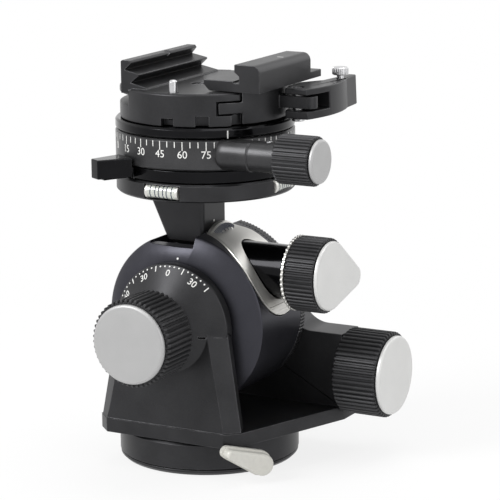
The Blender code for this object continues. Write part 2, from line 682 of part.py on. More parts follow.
# Turning base housing and main frame
def build_housing(body):
    low = PUCK_FLANGE_HEIGHT + GAP
    ledge = PUCK_DRUM_TOP
    housing = turned("base_housing", [
        (PUCK_DRUM_RADIUS + GAP, low), (HOUSING_RADIUS, low),
        (HOUSING_RADIUS, HOUSING_TOP - HOUSING_EDGE), (HOUSING_RADIUS - HOUSING_EDGE, HOUSING_TOP),
        (RETAINER_RADIUS + GAP, HOUSING_TOP), (RETAINER_RADIUS + GAP, ledge),
        (PUCK_DRUM_RADIUS + GAP, ledge)], sides=SIDES_LARGE)
    frame = lock_frame()
    shoe_end = PUCK_DRUM_RADIUS + GAP + LOCK_SHOE_LENGTH
    shoe_bore = ring("cutter", 0, LOCK_SHOE_RADIUS + GAP, PUCK_DRUM_RADIUS - OVERRUN,
                     shoe_end + GAP, frame, SIDES_TINY)
    screw_bore = ring("cutter", 0, LOCK_SCREW_RADIUS + GAP, PUCK_DRUM_RADIUS,
                      HOUSING_RADIUS + OVERRUN, frame, SIDES_TINY)
    shoe = ring("base_lock_shoe", 0, LOCK_SHOE_RADIUS, PUCK_DRUM_RADIUS + 2 * GAP, shoe_end,
                frame, SIDES_TINY)
    fit(shape(housing, cut=[shoe_bore, screw_bore]), body, "black_anodised")
    fit(shoe, body, "bronze")


def plate_solid():
    rear = rear_face()
    outline = [
        (-PLATE_FRONT_HALF, -PLATE_FRONT), (PLATE_FRONT_HALF, -PLATE_FRONT),
        (PLATE_CHAMFER_X, -PLATE_CHAMFER_Y), (PLATE_WING_X, PLATE_WING_FRONT_Y),
        (PLATE_WING_X, rear), (-PLATE_LEFT_REAR_X, rear),
        (-PLATE_CHAMFER_X, PLATE_WING_FRONT_Y), (-PLATE_CHAMFER_X, -PLATE_CHAMFER_Y)]
    return prism("main_frame", outline, PLATE_BOTTOM, PLATE_TOP)


def rear_start():
    return BARREL_REAR + GAP + RIM_THICKNESS + GAP


def rear_face():
    return rear_start() + REAR_UPRIGHT_DEPTH


def front_leg():
    """Front upright below the dial: its foot has the plate's outline and it narrows upwards."""
    def section(back_half, half, front, face_half, side_front, height):
        return [(-back_half, -UPRIGHT_BACK, height), (back_half, -UPRIGHT_BACK, height),
                (half, -side_front, height), (face_half, -front, height),
                (-face_half, -front, height), (-half, -side_front, height)]

    inset = UPRIGHT_FOOT_INSET
    foot_half = PLATE_CHAMFER_X - inset
    foot = section(foot_half - UPRIGHT_BACK_BEVEL, foot_half, PLATE_FRONT - inset,
                   PLATE_FRONT_HALF - inset, PLATE_CHAMFER_Y - inset, PLATE_TOP - GAP)
    top_half = DIAL_RADIUS - GAP
    top = section(top_half - GAP, top_half, UPRIGHT_TOP_FRONT, UPRIGHT_TOP_HALF,
                  DIAL_RIM_FRONT - GAP, TILT_HEIGHT)
    return loft("front_leg", [foot, top])


def front_hub():
    profile = [(0, -UPRIGHT_BACK), (DIAL_RADIUS, -UPRIGHT_BACK), (DIAL_RADIUS, -DIAL_RIM_FRONT),
               (DIAL_INNER_RADIUS, -DIAL_FACE), (FRONT_BOSS_FOOT_RADIUS, -DIAL_FACE),
               (FRONT_BOSS_RADIUS, -FRONT_BOSS_END), (0, -FRONT_BOSS_END)]
    return turned("front_hub", profile, frame_at("Y", (0, 0, TILT_HEIGHT)), SIDES_LARGE)


def rear_upright():
    """Rear bearing upright, whose right side runs down a fillet to the gear box."""
    fillet_x = REAR_UPRIGHT_RADIUS + GEARBOX_FILLET
    fillet_z = GEARBOX_TOP + GEARBOX_FILLET
    outline = [(-REAR_UPRIGHT_RADIUS, PLATE_TOP - GAP), (PLATE_WING_X, PLATE_TOP - GAP),
               (PLATE_WING_X, GEARBOX_TOP)]
    outline += arc((fillet_x, fillet_z), GEARBOX_FILLET, -math.pi / 2, -math.pi, CORNER_STEPS)
    outline += arc((0, TILT_HEIGHT), REAR_UPRIGHT_RADIUS, math.asin(
        (fillet_z - TILT_HEIGHT) / REAR_UPRIGHT_RADIUS), math.pi, SIDES_SMALL)
    frame = Matrix(((1, 0, 0), (0, 0, -1), (0, 1, 0))).to_4x4()
    return prism("rear_upright", outline, -rear_face(), -rear_start(), frame)


def build_frame(body):
    tilt = frame_at("Y", (0, 0, TILT_HEIGHT))
    worm_axis = frame_at("X", (0, WORM_Y, WORM_HEIGHT))
    bush_radius = AXLE_RADIUS + PLAY + BUSH_WALL
    cutters = [
        ring("cutter", 0, bush_radius + GAP, -FRONT_BOSS_END - OVERRUN, -UPRIGHT_BACK + OVERRUN,
             tilt, SIDES_SMALL),
        ring("cutter", 0, bush_radius + GAP, rear_start() - OVERRUN, rear_face(), tilt,
             SIDES_SMALL),
        ring("cutter", 0, REAR_CHAMBER_RADIUS, rear_start() + REAR_WALL, rear_face() + OVERRUN,
             tilt, SIDES_MEDIUM),
        ring("cutter", 0, WORM_BORE, -WORM_HALF_LENGTH - GAP, PLATE_WING_X + OVERRUN,
             worm_axis, SIDES_SMALL),
        ring("cutter", 0, WORM_SHAFT_RADIUS + GAP, -WORM_HALF_LENGTH - WORM_TAIL - GAP, 0,
             worm_axis, SIDES_SMALL),
    ]
    frame = shape(plate_solid(), add=[front_leg(), front_hub(), rear_upright()], cut=cutters)
    fit(frame, body, "black_anodised")
    front_bush = ring("front_axle_bush", AXLE_RADIUS + GAP, bush_radius, -FRONT_BOSS_END + GAP,
                      -UPRIGHT_BACK - GAP, tilt, SIDES_SMALL)
    rear_bush = ring("rear_axle_bush", AXLE_RADIUS + GAP, bush_radius, rear_start() + GAP,
                     rear_start() + REAR_WALL - GAP, tilt, SIDES_SMALL)
    worm_bush = ring("worm_bush", WORM_SHAFT_RADIUS + GAP, WORM_BORE - GAP,
                     PLATE_WING_X - GAP - WORM_BUSH_LENGTH, PLATE_WING_X - GAP, worm_axis,
                     SIDES_SMALL)
    fit(front_bush, body, "bronze")
    fit(rear_bush, body, "bronze")
    fit(worm_bush, body, "bronze")
    build_rear_cover(body)


def build_rear_cover(body):
    """Screwed-in cover of the rear chamber, with two holes for a pin spanner."""
    tilt = frame_at("Y", (0, 0, TILT_HEIGHT))
    low = rear_face() + GAP
    high = low + REAR_COVER_THICKNESS
    spigot = REAR_CHAMBER_RADIUS - GAP
    cover = turned("rear_cover", [
        (0, rear_face() - COVER_SPIGOT), (spigot, rear_face() - COVER_SPIGOT), (spigot, low),
        (REAR_COVER_RADIUS, low), (REAR_COVER_RADIUS, high), (0, high)], tilt)
    holes = []
    for side in (-1, 1):
        spot = frame_at("Y", (side * SPANNER_HOLE_CIRCLE, 0, TILT_HEIGHT))
        holes.append(ring("cutter", 0, SPANNER_HOLE_RADIUS, high - SPANNER_HOLE_DEPTH,
                          high + OVERRUN, spot, SIDES_TINY))
    fit(shape(cover, cut=holes), body, "black_anodised")


# Knobs: ribbed body on an axis, with a bright cap
def knob_body(name, radius, depth, ribs, low, high, bore, frame, rim=KNOB_CAP_EDGE):
    """A straight-ribbed knob with small bevels at both ends and a bore right through."""
    tapered = ribbed(radius - rim, depth, ribs)
    full = ribbed(radius, depth, ribs)
    levels = [(tapered, low), (full, low + rim), (full, high - rim), (tapered, high)]
    body = loft(name, [[(x, y, z) for x, y in points] for points, z in levels], frame)
    hole = ring("cutter", 0, bore, low - OVERRUN, high + OVERRUN, frame, SIDES_SMALL)
    return shape(body, cut=[hole])


def knob_cap(name, radius, low, high, stud, stud_length, frame):
    """A thin bevelled cap with a stud that seats in the knob's bore."""
    edge = KNOB_CAP_EDGE
    return turned(name, [(0, low - stud_length), (stud, low - stud_length), (stud, low),
                         (radius, low), (radius, high - edge), (radius - edge, high), (0, high)],
                  frame, SIDES_MEDIUM)


def flipped(frame):
    """The same frame looking the other way along its axis."""
    return frame @ Matrix.Rotation(math.pi, 4, "X")


def build_front_knob(body):
    axis = flipped(frame_at("Y", (0, 0, TILT_HEIGHT)))
    cap_low = FRONT_KNOB_FACE - KNOB_CAP_THICKNESS
    high = cap_low - GAP
    low = high - FRONT_KNOB_LENGTH
    bore = AXLE_SCREW_RADIUS + GAP
    fit(knob_body("front_knob", KNOB_RADIUS, KNOB_RIB_DEPTH, KNOB_RIBS, low, high, bore, axis),
        body, "knurl_black")
    cap = knob_cap("front_knob_cap", FRONT_KNOB_CAP_RADIUS, cap_low, FRONT_KNOB_FACE,
                   KNOB_STUD_RADIUS, KNOB_STUD_LENGTH, axis)
    fit(cap, body, "pearl_cap")
    washer = ring("front_knob_washer", AXLE_RADIUS + PLAY, FRONT_BOSS_RADIUS - PLAY,
                  low - GAP - WASHER_THICKNESS, low - GAP, axis, SIDES_SMALL)
    fit(washer, body, "polymer")


def front_screw_end():
    """How far the axle's screw reaches into the front knob."""
    return FRONT_KNOB_FACE - KNOB_CAP_THICKNESS - KNOB_STUD_LENGTH - PLAY


def build_lower_knob(body):
    axis = frame_at("X", (0, WORM_Y, WORM_HEIGHT))
    cap_low = LOWER_KNOB_FACE - KNOB_CAP_THICKNESS
    high = cap_low - GAP
    low = high - LOWER_KNOB_LENGTH
    bore = WORM_SHAFT_RADIUS + GAP
    fit(knob_body("lower_knob", KNOB_RADIUS, KNOB_RIB_DEPTH, KNOB_RIBS, low, high, bore, axis),
        body, "knurl_black")
    cap = knob_cap("lower_knob_cap", LOWER_KNOB_CAP_RADIUS, cap_low, LOWER_KNOB_FACE,
                   KNOB_STUD_RADIUS, KNOB_STUD_LENGTH, axis)
    fit(cap, body, "pearl_cap")
    thread = worm_profile(WORM_ROOT, WORM_RADIUS, WORM_HALF_LENGTH, WORM_TURNS)
    start = -WORM_HALF_LENGTH - WORM_TAIL
    end = cap_low - KNOB_STUD_LENGTH - PLAY
    profile = [(0, start), (WORM_SHAFT_RADIUS, start), (WORM_SHAFT_RADIUS, -WORM_HALF_LENGTH)]
    profile += thread + [(WORM_SHAFT_RADIUS, WORM_HALF_LENGTH), (WORM_SHAFT_RADIUS, end), (0, end)]
    fit(turned("worm_shaft", profile, axis, SIDES_SMALL), body, "steel")


# Barrel and what turns with it
def barrel_cylinder(name, radius, low, high, sides=SIDES_LARGE):
    return ring(name, 0, radius, low, high, frame_at("Y", (0, 0, TILT_HEIGHT)), sides)


def build_barrel(body):
    tilt = frame_at("Y", (0, 0, TILT_HEIGHT))
    bore = AXLE_RADIUS + GAP
    shell = turned("barrel", [
        (bore, BARREL_REAR), (BARREL_RADIUS, BARREL_REAR), (BARREL_RADIUS, -BARREL_RIM_FRONT),
        (BARREL_RADIUS - BARREL_RIM_EDGE, -BARREL_RIM_FRONT - BARREL_RIM_EDGE),
        (BARREL_CONE_RADIUS, -BARREL_FRONT), (bore, -BARREL_FRONT)], tilt, SIDES_LARGE)
    cavity = barrel_cylinder("cutter", BARREL_CAVITY_RADIUS, -BARREL_CAVITY_FRONT,
                             BARREL_CAVITY_REAR, SIDES_MEDIUM)
    slot = block("cutter", (-SLOT_LEFT, -BARREL_FRONT - OVERRUN, SLOT_FLOOR),
                 (SLOT_RIGHT, BARREL_REAR + OVERRUN, TILT_HEIGHT + BARREL_RADIUS + OVERRUN))
    rock_room = block("cutter", (-SLOT_LEFT, -BARREL_CAVITY_FRONT + PLAY, SLOT_REAR_FLOOR),
                      (SLOT_RIGHT, BARREL_REAR + OVERRUN, TILT_HEIGHT + BARREL_RADIUS))
    port = ring("cutter", 0, SADDLE_RADIUS + GAP, SLOT_RIGHT - OVERRUN,
                BARREL_RADIUS + OVERRUN, frame_at("X", (0, 0, ROCK_HEIGHT)), SIDES_LARGE)
    port = shape(port, cut=[behind_saddle(SADDLE_REAR + GAP)])
    fit(shape(shell, cut=[cavity, slot, rock_room, port]), body, "blue_grey_anodised")
    rim_low = BARREL_REAR + GAP
    rim = prism("toothed_rim", ribbed(RIM_RADIUS, RIM_TOOTH_DEPTH, RIM_TEETH), rim_low,
                rim_low + RIM_THICKNESS, tilt)
    rim_bore = ring("cutter", 0, RIM_BORE, rim_low - OVERRUN, rim_low + RIM_THICKNESS + OVERRUN,
                    tilt, SIDES_MEDIUM)
    rim_slot = block("cutter", (-SLOT_LEFT, rim_low - OVERRUN, SLOT_FLOOR),
                     (SLOT_RIGHT, rim_low + RIM_THICKNESS + OVERRUN,
                      TILT_HEIGHT + RIM_RADIUS + OVERRUN))
    fit(shape(rim, cut=[rim_bore, rim_slot]), body, "black_anodised")


def build_main_axle(body):
    tilt = frame_at("Y", (0, 0, TILT_HEIGHT))
    wheel_low = WORM_Y - WHEEL_HALF_WIDTH
    wheel_high = WORM_Y + WHEEL_HALF_WIDTH
    nut_high = wheel_high + GAP + AXLE_NUT_HEIGHT
    axle = turned("main_axle", [
        (0, -front_screw_end()), (AXLE_SCREW_RADIUS, -front_screw_end()),
        (AXLE_SCREW_RADIUS, -FRONT_BOSS_END), (AXLE_RADIUS, -FRONT_BOSS_END),
        (AXLE_RADIUS, nut_high), (0, nut_high)], tilt, SIDES_SMALL)
    wheel = prism("worm_wheel", ribbed(WHEEL_RADIUS, WHEEL_RADIUS - WHEEL_ROOT, WHEEL_TEETH),
                  wheel_low, wheel_high, tilt)
    bore = ring("cutter", 0, AXLE_RADIUS + GAP, wheel_low - OVERRUN, wheel_high + OVERRUN, tilt,
                SIDES_SMALL)
    nut = ring("axle_nut", AXLE_RADIUS + GAP, AXLE_NUT_RADIUS, wheel_high + GAP, nut_high, tilt,
               SIDES_TINY)
    fit(axle, body, "steel")
    fit(shape(wheel, cut=[bore]), body, "bronze")
    fit(nut, body, "steel")


def behind_saddle(start):
    """Room behind the saddle's flat rear side, from start backwards."""
    return block("cutter", (-BARREL_RADIUS, start, ROCK_HEIGHT - 2 * SADDLE_RADIUS),
                 (2 * BARREL_RADIUS, start + SADDLE_RADIUS, ROCK_HEIGHT + 2 * SADDLE_RADIUS))


def build_saddle(body):
    """Silver bearing ring let into the barrel's right side, with a raised nose at the slot."""
    rock = frame_at("X", (0, 0, ROCK_HEIGHT))
    start = SLOT_RIGHT + GAP
    saddle = ring("saddle", 0, SADDLE_RADIUS, start, BARREL_RADIUS + OVERRUN, rock, SIDES_LARGE)
    reach = BARREL_REAR + SADDLE_RADIUS
    tilt = frame_at("Y", (0, 0, TILT_HEIGHT))
    outside = ring("cutter", BARREL_RADIUS + SADDLE_PROUD, 2 * BARREL_RADIUS, -reach, reach, tilt,
                   SIDES_LARGE)
    inside = barrel_cylinder("cutter", BARREL_CAVITY_RADIUS, -reach, reach, SIDES_MEDIUM)
    tube_bore = ring("cutter", 0, TUBE_RADIUS + GAP, start - OVERRUN, BARREL_RADIUS + 2 * OVERRUN,
                     rock, SIDES_MEDIUM)
    saddle = shape(saddle, cut=[outside])
    nose = turned("nose", [
        (0, start), (SADDLE_RADIUS, start), (SADDLE_RADIUS, start + SADDLE_FLANGE),
        (SADDLE_NOSE_RADIUS, SADDLE_NOSE_END), (0, SADDLE_NOSE_END)], rock, SIDES_LARGE)
    saddle = shape(saddle, add=[nose], cut=[inside, tube_bore, behind_saddle(SADDLE_REAR)])
    fit(saddle, body, "silver_anodised")


def build_tube(body):
    rock = frame_at("X", (0, 0, ROCK_HEIGHT))
    tube = ring("tilt_tube", TUBE_BORE, TUBE_RADIUS, TUBE_START, TUBE_END, rock, SIDES_MEDIUM)
    fit(tube, body, "gloss_black")
    low = TUBE_END + GAP
    washer = ring("tube_washer", KNOB_SHAFT_RADIUS + GAP, TUBE_WASHER_RADIUS, low,
                  low + TUBE_WASHER_THICKNESS, rock, SIDES_MEDIUM)
    fit(washer, body, "silver_anodised")
    bush = ring("tube_bush", KNOB_SHAFT_RADIUS + GAP, TUBE_BORE - GAP, TUBE_START + GAP,
                TUBE_END - GAP, rock, SIDES_SMALL)
    fit(bush, body, "bronze")


def gear_plate(name, low, high):
    """Plate across the barrel's cavity that holds an axle end and the layshaft."""
    front = BARREL_CAVITY_FRONT - GAP
    rear = BARREL_CAVITY_REAR - GAP
    inner = max(abs(low), abs(high))
    top = math.sqrt((BARREL_CAVITY_RADIUS - GAP - PLAY) ** 2 - inner ** 2)
    plate = block(name, (low, -front, TILT_HEIGHT + GEAR_PLATE_BOTTOM),
                  (high, rear, TILT_HEIGHT + top))
    bores = [
        ring("cutter", 0, ROCK_AXLE_RADIUS + GAP, low - OVERRUN, high + OVERRUN,
             frame_at("X", (0, 0, ROCK_HEIGHT)), SIDES_SMALL),
        ring("cutter", 0, LAYSHAFT_RADIUS + GAP, low - OVERRUN, high + OVERRUN,
             frame_at("X", (0, 0, ROCK_HEIGHT - GEAR_CENTRES)), SIDES_TINY)]
    return shape(plate, cut=bores)


def build_gear_plates(body):
    right = gear_plate("gear_plate_right", GEAR_PLATE_RIGHT,
                       GEAR_PLATE_RIGHT + GEAR_PLATE_THICKNESS)
    left = gear_plate("gear_plate_left", -GEAR_PLATE_LEFT,
                      -GEAR_PLATE_LEFT + GEAR_PLATE_THICKNESS)
    fit(right, body, "silver_anodised")
    fit(left, body, "silver_anodised")
    axle = ring("rock_axle", 0, ROCK_AXLE_RADIUS, -GEAR_PLATE_LEFT,
                GEAR_PLATE_RIGHT + GEAR_PLATE_THICKNESS, frame_at("X", (0, 0, ROCK_HEIGHT)),
                SIDES_SMALL)
    fit(axle, body, "steel")


# Gear train of the second tilt
def build_layshaft(body):
    lay = frame_at("X", (0, 0, ROCK_HEIGHT - GEAR_CENTRES))
    idler_radius = SECTOR_RADIUS
    idler_high = IDLER_LEFT + IDLER_WIDTH
    shaft = ring("layshaft", 0, LAYSHAFT_RADIUS, -GEAR_PLATE_LEFT, IDLER_LEFT + PLAY, lay,
                 SIDES_TINY)
    idler = prism("idler", ribbed(idler_radius, TOOTH_DEPTH, SECTOR_TEETH), IDLER_LEFT,
                  idler_high, lay)
    pinion = prism("pinion", ribbed(PINION_RADIUS, TOOTH_DEPTH, PINION_TEETH),
                   -SECTOR_LEFT, -SECTOR_LEFT + SECTOR_WIDTH, lay)
    fit(shape(shaft, add=[idler, pinion]), body, "steel")


def build_lobe_knob(body):
    rock = frame_at("X", (0, 0, ROCK_HEIGHT))
    low = TUBE_END + GAP + TUBE_WASHER_THICKNESS + GAP
    high = low + LOBE_KNOB_LENGTH
    full = ribbed_teardrop(0)
    tapered = ribbed_teardrop(KNOB_CAP_EDGE)
    levels = [(tapered, low), (full, low + KNOB_CAP_EDGE), (full, high - KNOB_CAP_EDGE),
              (tapered, high)]
    knob = loft("lobe_knob", [[(x, y, z) for x, y in points] for points, z in levels], rock)
    bore = ring("cutter", 0, KNOB_SHAFT_RADIUS + GAP, low - OVERRUN, high + OVERRUN, rock,
                SIDES_SMALL)
    fit(shape(knob, cut=[bore]), body, "knurl_black")
    cap_low = high + GAP
    cap_high = cap_low + LOBE_CAP_THICKNESS
    outlines = [plain_teardrop(LOBE_CAP_INSET), plain_teardrop(LOBE_CAP_INSET),
                plain_teardrop(LOBE_CAP_INSET + KNOB_CAP_EDGE)]
    heights = [cap_low, cap_high - KNOB_CAP_EDGE, cap_high]
    sections = [[(x, y, z) for x, y in points] for points, z in zip(outlines, heights)]
    fit(loft("lobe_knob_cap", sections, rock), body, "pearl_cap")
    shaft = ring("knob_shaft", 0, KNOB_SHAFT_RADIUS, IDLER_LEFT + IDLER_WIDTH, high - GAP, rock,
                 SIDES_SMALL)
    pinion = prism("pinion", ribbed(PINION_RADIUS, TOOTH_DEPTH, PINION_TEETH), IDLER_LEFT,
                   IDLER_LEFT + IDLER_WIDTH + PLAY, rock)
    fit(shape(shaft, add=[pinion]), body, "steel")


def plain_teardrop(inset):
    return teardrop(LOBE_KNOB_RADIUS - inset, LOBE_TIP_RADIUS - inset, LOBE_REACH, -LOBE_DROOP,
                    2 * LOBE_KNOB_RIBS, LOBE_TIP_STEPS)


def ribbed_teardrop(inset):
    """The teardrop outline with ribs around its round part."""
    outline = plain_teardrop(inset)
    last = 2 * LOBE_KNOB_RIBS
    points = []
    for i, (x, y) in enumerate(outline):
        sink = LOBE_RIB_DEPTH if i % 2 and i < last else 0
        share = 1 - sink / LOBE_KNOB_RADIUS
        points.append((x * share, y * share))
    return points


# Rocking stem with its sector gear
def stem_section(left, right, half_depth, corner, height):
    return [(-left, -half_depth + corner, height), (-left + corner, -half_depth, height),
            (right - corner, -half_depth, height), (right, -half_depth + corner, height),
            (right, half_depth - corner, height), (right - corner, half_depth, height),
            (-left + corner, half_depth, height), (-left, half_depth - corner, height)]


def build_stem(body):
    rock = frame_at("X", (0, 0, ROCK_HEIGHT))
    hub = ring("stem", 0, ROCK_HUB_RADIUS, -ROCK_HUB_LEFT, STEM_RIGHT, rock, SIDES_MEDIUM)
    foot_depth = ROCK_HUB_RADIUS - PLAY
    shoulder = ROCK_HEIGHT + SECTOR_RADIUS + PLAY
    column = loft("column", [
        stem_section(ROCK_HUB_LEFT, STEM_RIGHT, foot_depth, STEM_CORNER, ROCK_HEIGHT),
        stem_section(ROCK_HUB_LEFT + GAP, STEM_RIGHT, foot_depth + GAP, STEM_CORNER, shoulder),
        stem_section(STEM_NECK_LEFT, STEM_RIGHT, STEM_HALF_DEPTH, STEM_CORNER, STEM_NECK_HEIGHT),
        stem_section(STEM_HEAD_LEFT, STEM_RIGHT, STEM_HALF_DEPTH, STEM_CORNER, STEM_TOP)])
    bore = ring("cutter", 0, ROCK_AXLE_RADIUS + GAP, -ROCK_HUB_LEFT - OVERRUN,
                STEM_RIGHT + OVERRUN, rock, SIDES_SMALL)
    fit(shape(hub, add=[column], cut=[bore]), body, "black_anodised")
    sector = prism("sector_gear", ribbed(SECTOR_RADIUS, SECTOR_RADIUS - SECTOR_ROOT,
                                         SECTOR_TEETH), -SECTOR_LEFT,
                   -SECTOR_LEFT + SECTOR_WIDTH, rock)
    sector_bore = ring("cutter", 0, ROCK_AXLE_RADIUS + GAP, -SECTOR_LEFT - OVERRUN,
                       -SECTOR_LEFT + SECTOR_WIDTH + OVERRUN, rock, SIDES_SMALL)
    fit(shape(sector, cut=[sector_bore]), body, "bronze")


# Upper panning unit
def build_pan_plate(body):
    low = PAN_PLATE_BOTTOM
    high = PAN_PLATE_TOP
    edge = PAN_EDGE
    nut_seat = PAN_NUT_RADIUS + GAP
    nut_floor = PAN_SPINDLE_BOTTOM - GAP
    plate = turned("pan_base_plate", [
        (0, low), (PAN_RADIUS - edge, low), (PAN_RADIUS, low + edge), (PAN_RADIUS, high - edge),
        (PAN_RADIUS - edge, high), (PAN_BOSS_RADIUS, high), (PAN_BOSS_RADIUS, RELEASE_TOP),
        (nut_seat, RELEASE_TOP), (nut_seat, nut_floor), (0, nut_floor)], sides=SIDES_LARGE)
    middle = (low + high) / 2
    pockets = []
    for turn in (-math.pi / 2, 0):
        pocket = block("cutter", (VIAL_SEAT - VIAL_RADIUS - GAP, -VIAL_LENGTH / 2 - GAP,
                                  middle - VIAL_RADIUS - GAP),
                       (PAN_RADIUS + OVERRUN, VIAL_LENGTH / 2 + GAP, middle + VIAL_RADIUS + GAP))
        pocket.data.transform(Matrix.Rotation(turn, 4, "Z"))
        pockets.append(pocket)
    fit(shape(plate, cut=pockets), body, "black_anodised")
    front = ring("front_level_vial", 0, VIAL_RADIUS, -VIAL_LENGTH / 2, VIAL_LENGTH / 2,
                 frame_at("X", (0, -VIAL_SEAT, middle)), SIDES_TINY)
    side = ring("side_level_vial", 0, VIAL_RADIUS, -VIAL_LENGTH / 2, VIAL_LENGTH / 2,
                frame_at("Y", (VIAL_SEAT, 0, middle)), SIDES_TINY)
    fit(front, body, "vial_glass")
    fit(side, body, "vial_glass")


def build_graduated_ring(body):
    low = RELEASE_TOP + GAP
    floor = low + RING_FLOOR
    edge = PAN_EDGE
    worm_axis = frame_at("X", (0, -PAN_WORM_Y, PAN_WORM_HEIGHT))
    housing = turned("graduated_ring", [
        (PAN_SPINDLE_RADIUS + GAP, low), (PAN_RADIUS - edge, low), (PAN_RADIUS, low + edge),
        (PAN_RADIUS, RING_TOP - edge), (PAN_RADIUS - edge, RING_TOP),
        (RING_CHAMBER_RADIUS, RING_TOP), (RING_CHAMBER_RADIUS, floor),
        (PAN_SPINDLE_RADIUS + GAP, floor)], sides=SIDES_LARGE)
    fairing = turned("fairing", [
        (0, PAN_FAIRING_START), (PAN_FAIRING_RADIUS, PAN_FAIRING_START),
        (PAN_FAIRING_RADIUS, PAN_FAIRING_END), (PAN_COLLAR_RADIUS, PAN_FAIRING_END + PLAY),
        (PAN_COLLAR_RADIUS, PAN_COLLAR_END), (0, PAN_COLLAR_END)], worm_axis, SIDES_SMALL)
    bore = ring("cutter", 0, PAN_WORM_BORE, -PAN_WORM_HALF_LENGTH - PAN_WORM_RADIUS,
                PAN_COLLAR_END + OVERRUN, worm_axis, SIDES_SMALL)
    screw_bore = ring("cutter", 0, PAN_SCREW_RADIUS + GAP, 0, 2 * PAN_COLLAR_RADIUS,
                      frame_at("Z", (PAN_SCREW_X, -PAN_WORM_Y, PAN_WORM_HEIGHT)), SIDES_TINY)
    top_trim = block("cutter", (0, -PAN_RADIUS, RING_TOP), (INDEX_RADIUS, 0, INDEX_TOP))
    fit(shape(housing, add=[fairing], cut=[bore, screw_bore, top_trim]), body, "black_anodised")
    bush_low = PAN_WORM_HALF_LENGTH + 2 * GAP
    bush = ring("pan_worm_bush", PAN_SHAFT_RADIUS + GAP, PAN_WORM_BORE - GAP, bush_low,
                PAN_COLLAR_END - GAP, worm_axis, SIDES_SMALL)
    fit(bush, body, "bronze")
    screw_low = PAN_WORM_HEIGHT + PAN_WORM_BORE + GAP
    screw = ring("collar_screw", 0, PAN_SCREW_RADIUS, screw_low,
                 PAN_WORM_HEIGHT + PAN_COLLAR_RADIUS + GAP,
                 frame_at("Z", (PAN_SCREW_X, -PAN_WORM_Y, 0)), SIDES_TINY)
    fit(screw, body, "steel")


def build_release_ring(body):
    low = PAN_PLATE_TOP + GAP
    plain = ring("release_ring", RELEASE_BORE, RELEASE_RADIUS, low, RELEASE_TOP,
                 sides=SIDES_LARGE)
    arm = block("arm", (RELEASE_BORE + RELEASE_TAB_HALF_WIDTH, -RELEASE_TAB_HALF_WIDTH,
                        low + GAP),
                (RELEASE_TAB_END - RELEASE_TAB_HALF_WIDTH, RELEASE_TAB_HALF_WIDTH,
                 RELEASE_TOP - GAP))
    tip = RELEASE_TAB_HALF_WIDTH
    tab = prism("tab", [(PAN_RADIUS + PLAY, -RELEASE_TAB_ROOT_HALF), (RELEASE_TAB_END, -tip),
                        (RELEASE_TAB_END, tip), (PAN_RADIUS + PLAY, RELEASE_TAB_ROOT_HALF)],
                RELEASE_TAB_BOTTOM, RELEASE_TAB_TOP)
    for solid in (arm, tab):
        solid.data.transform(Matrix.Rotation(RELEASE_TAB_AZIMUTH, 4, "Z"))
    fit(shape(plain, add=[arm, tab]), body, "gloss_black")


def build_pan_knob(body):
    axis = frame_at("X", (0, -PAN_WORM_Y, PAN_WORM_HEIGHT))
    low = PAN_KNOB_START
    high = low + PAN_KNOB_LENGTH
    bore = PAN_SHAFT_RADIUS + GAP
    fit(knob_body("pan_knob", PAN_KNOB_RADIUS, PAN_KNOB_RIB_DEPTH, PAN_KNOB_RIBS, low, high,
                  bore, axis), body, "knurl_black")
    cap_low = high + GAP
    cap = knob_cap("pan_knob_cap", PAN_KNOB_CAP_RADIUS, cap_low,
                   cap_low + PAN_KNOB_CAP_THICKNESS, PAN_SHAFT_RADIUS - GAP, KNOB_STUD_LENGTH,
                   axis)
    fit(cap, body, "pearl_cap")
    half = PAN_WORM_HALF_LENGTH
    thread = worm_profile(PAN_WORM_ROOT, PAN_WORM_RADIUS, half, PAN_WORM_TURNS)
    end = cap_low - KNOB_STUD_LENGTH - PLAY
    profile = [(0, -half)] + thread + [(PAN_SHAFT_RADIUS, half), (PAN_SHAFT_RADIUS, end), (0, end)]
    fit(turned("pan_worm_shaft", profile, axis, SIDES_SMALL), body, "steel")


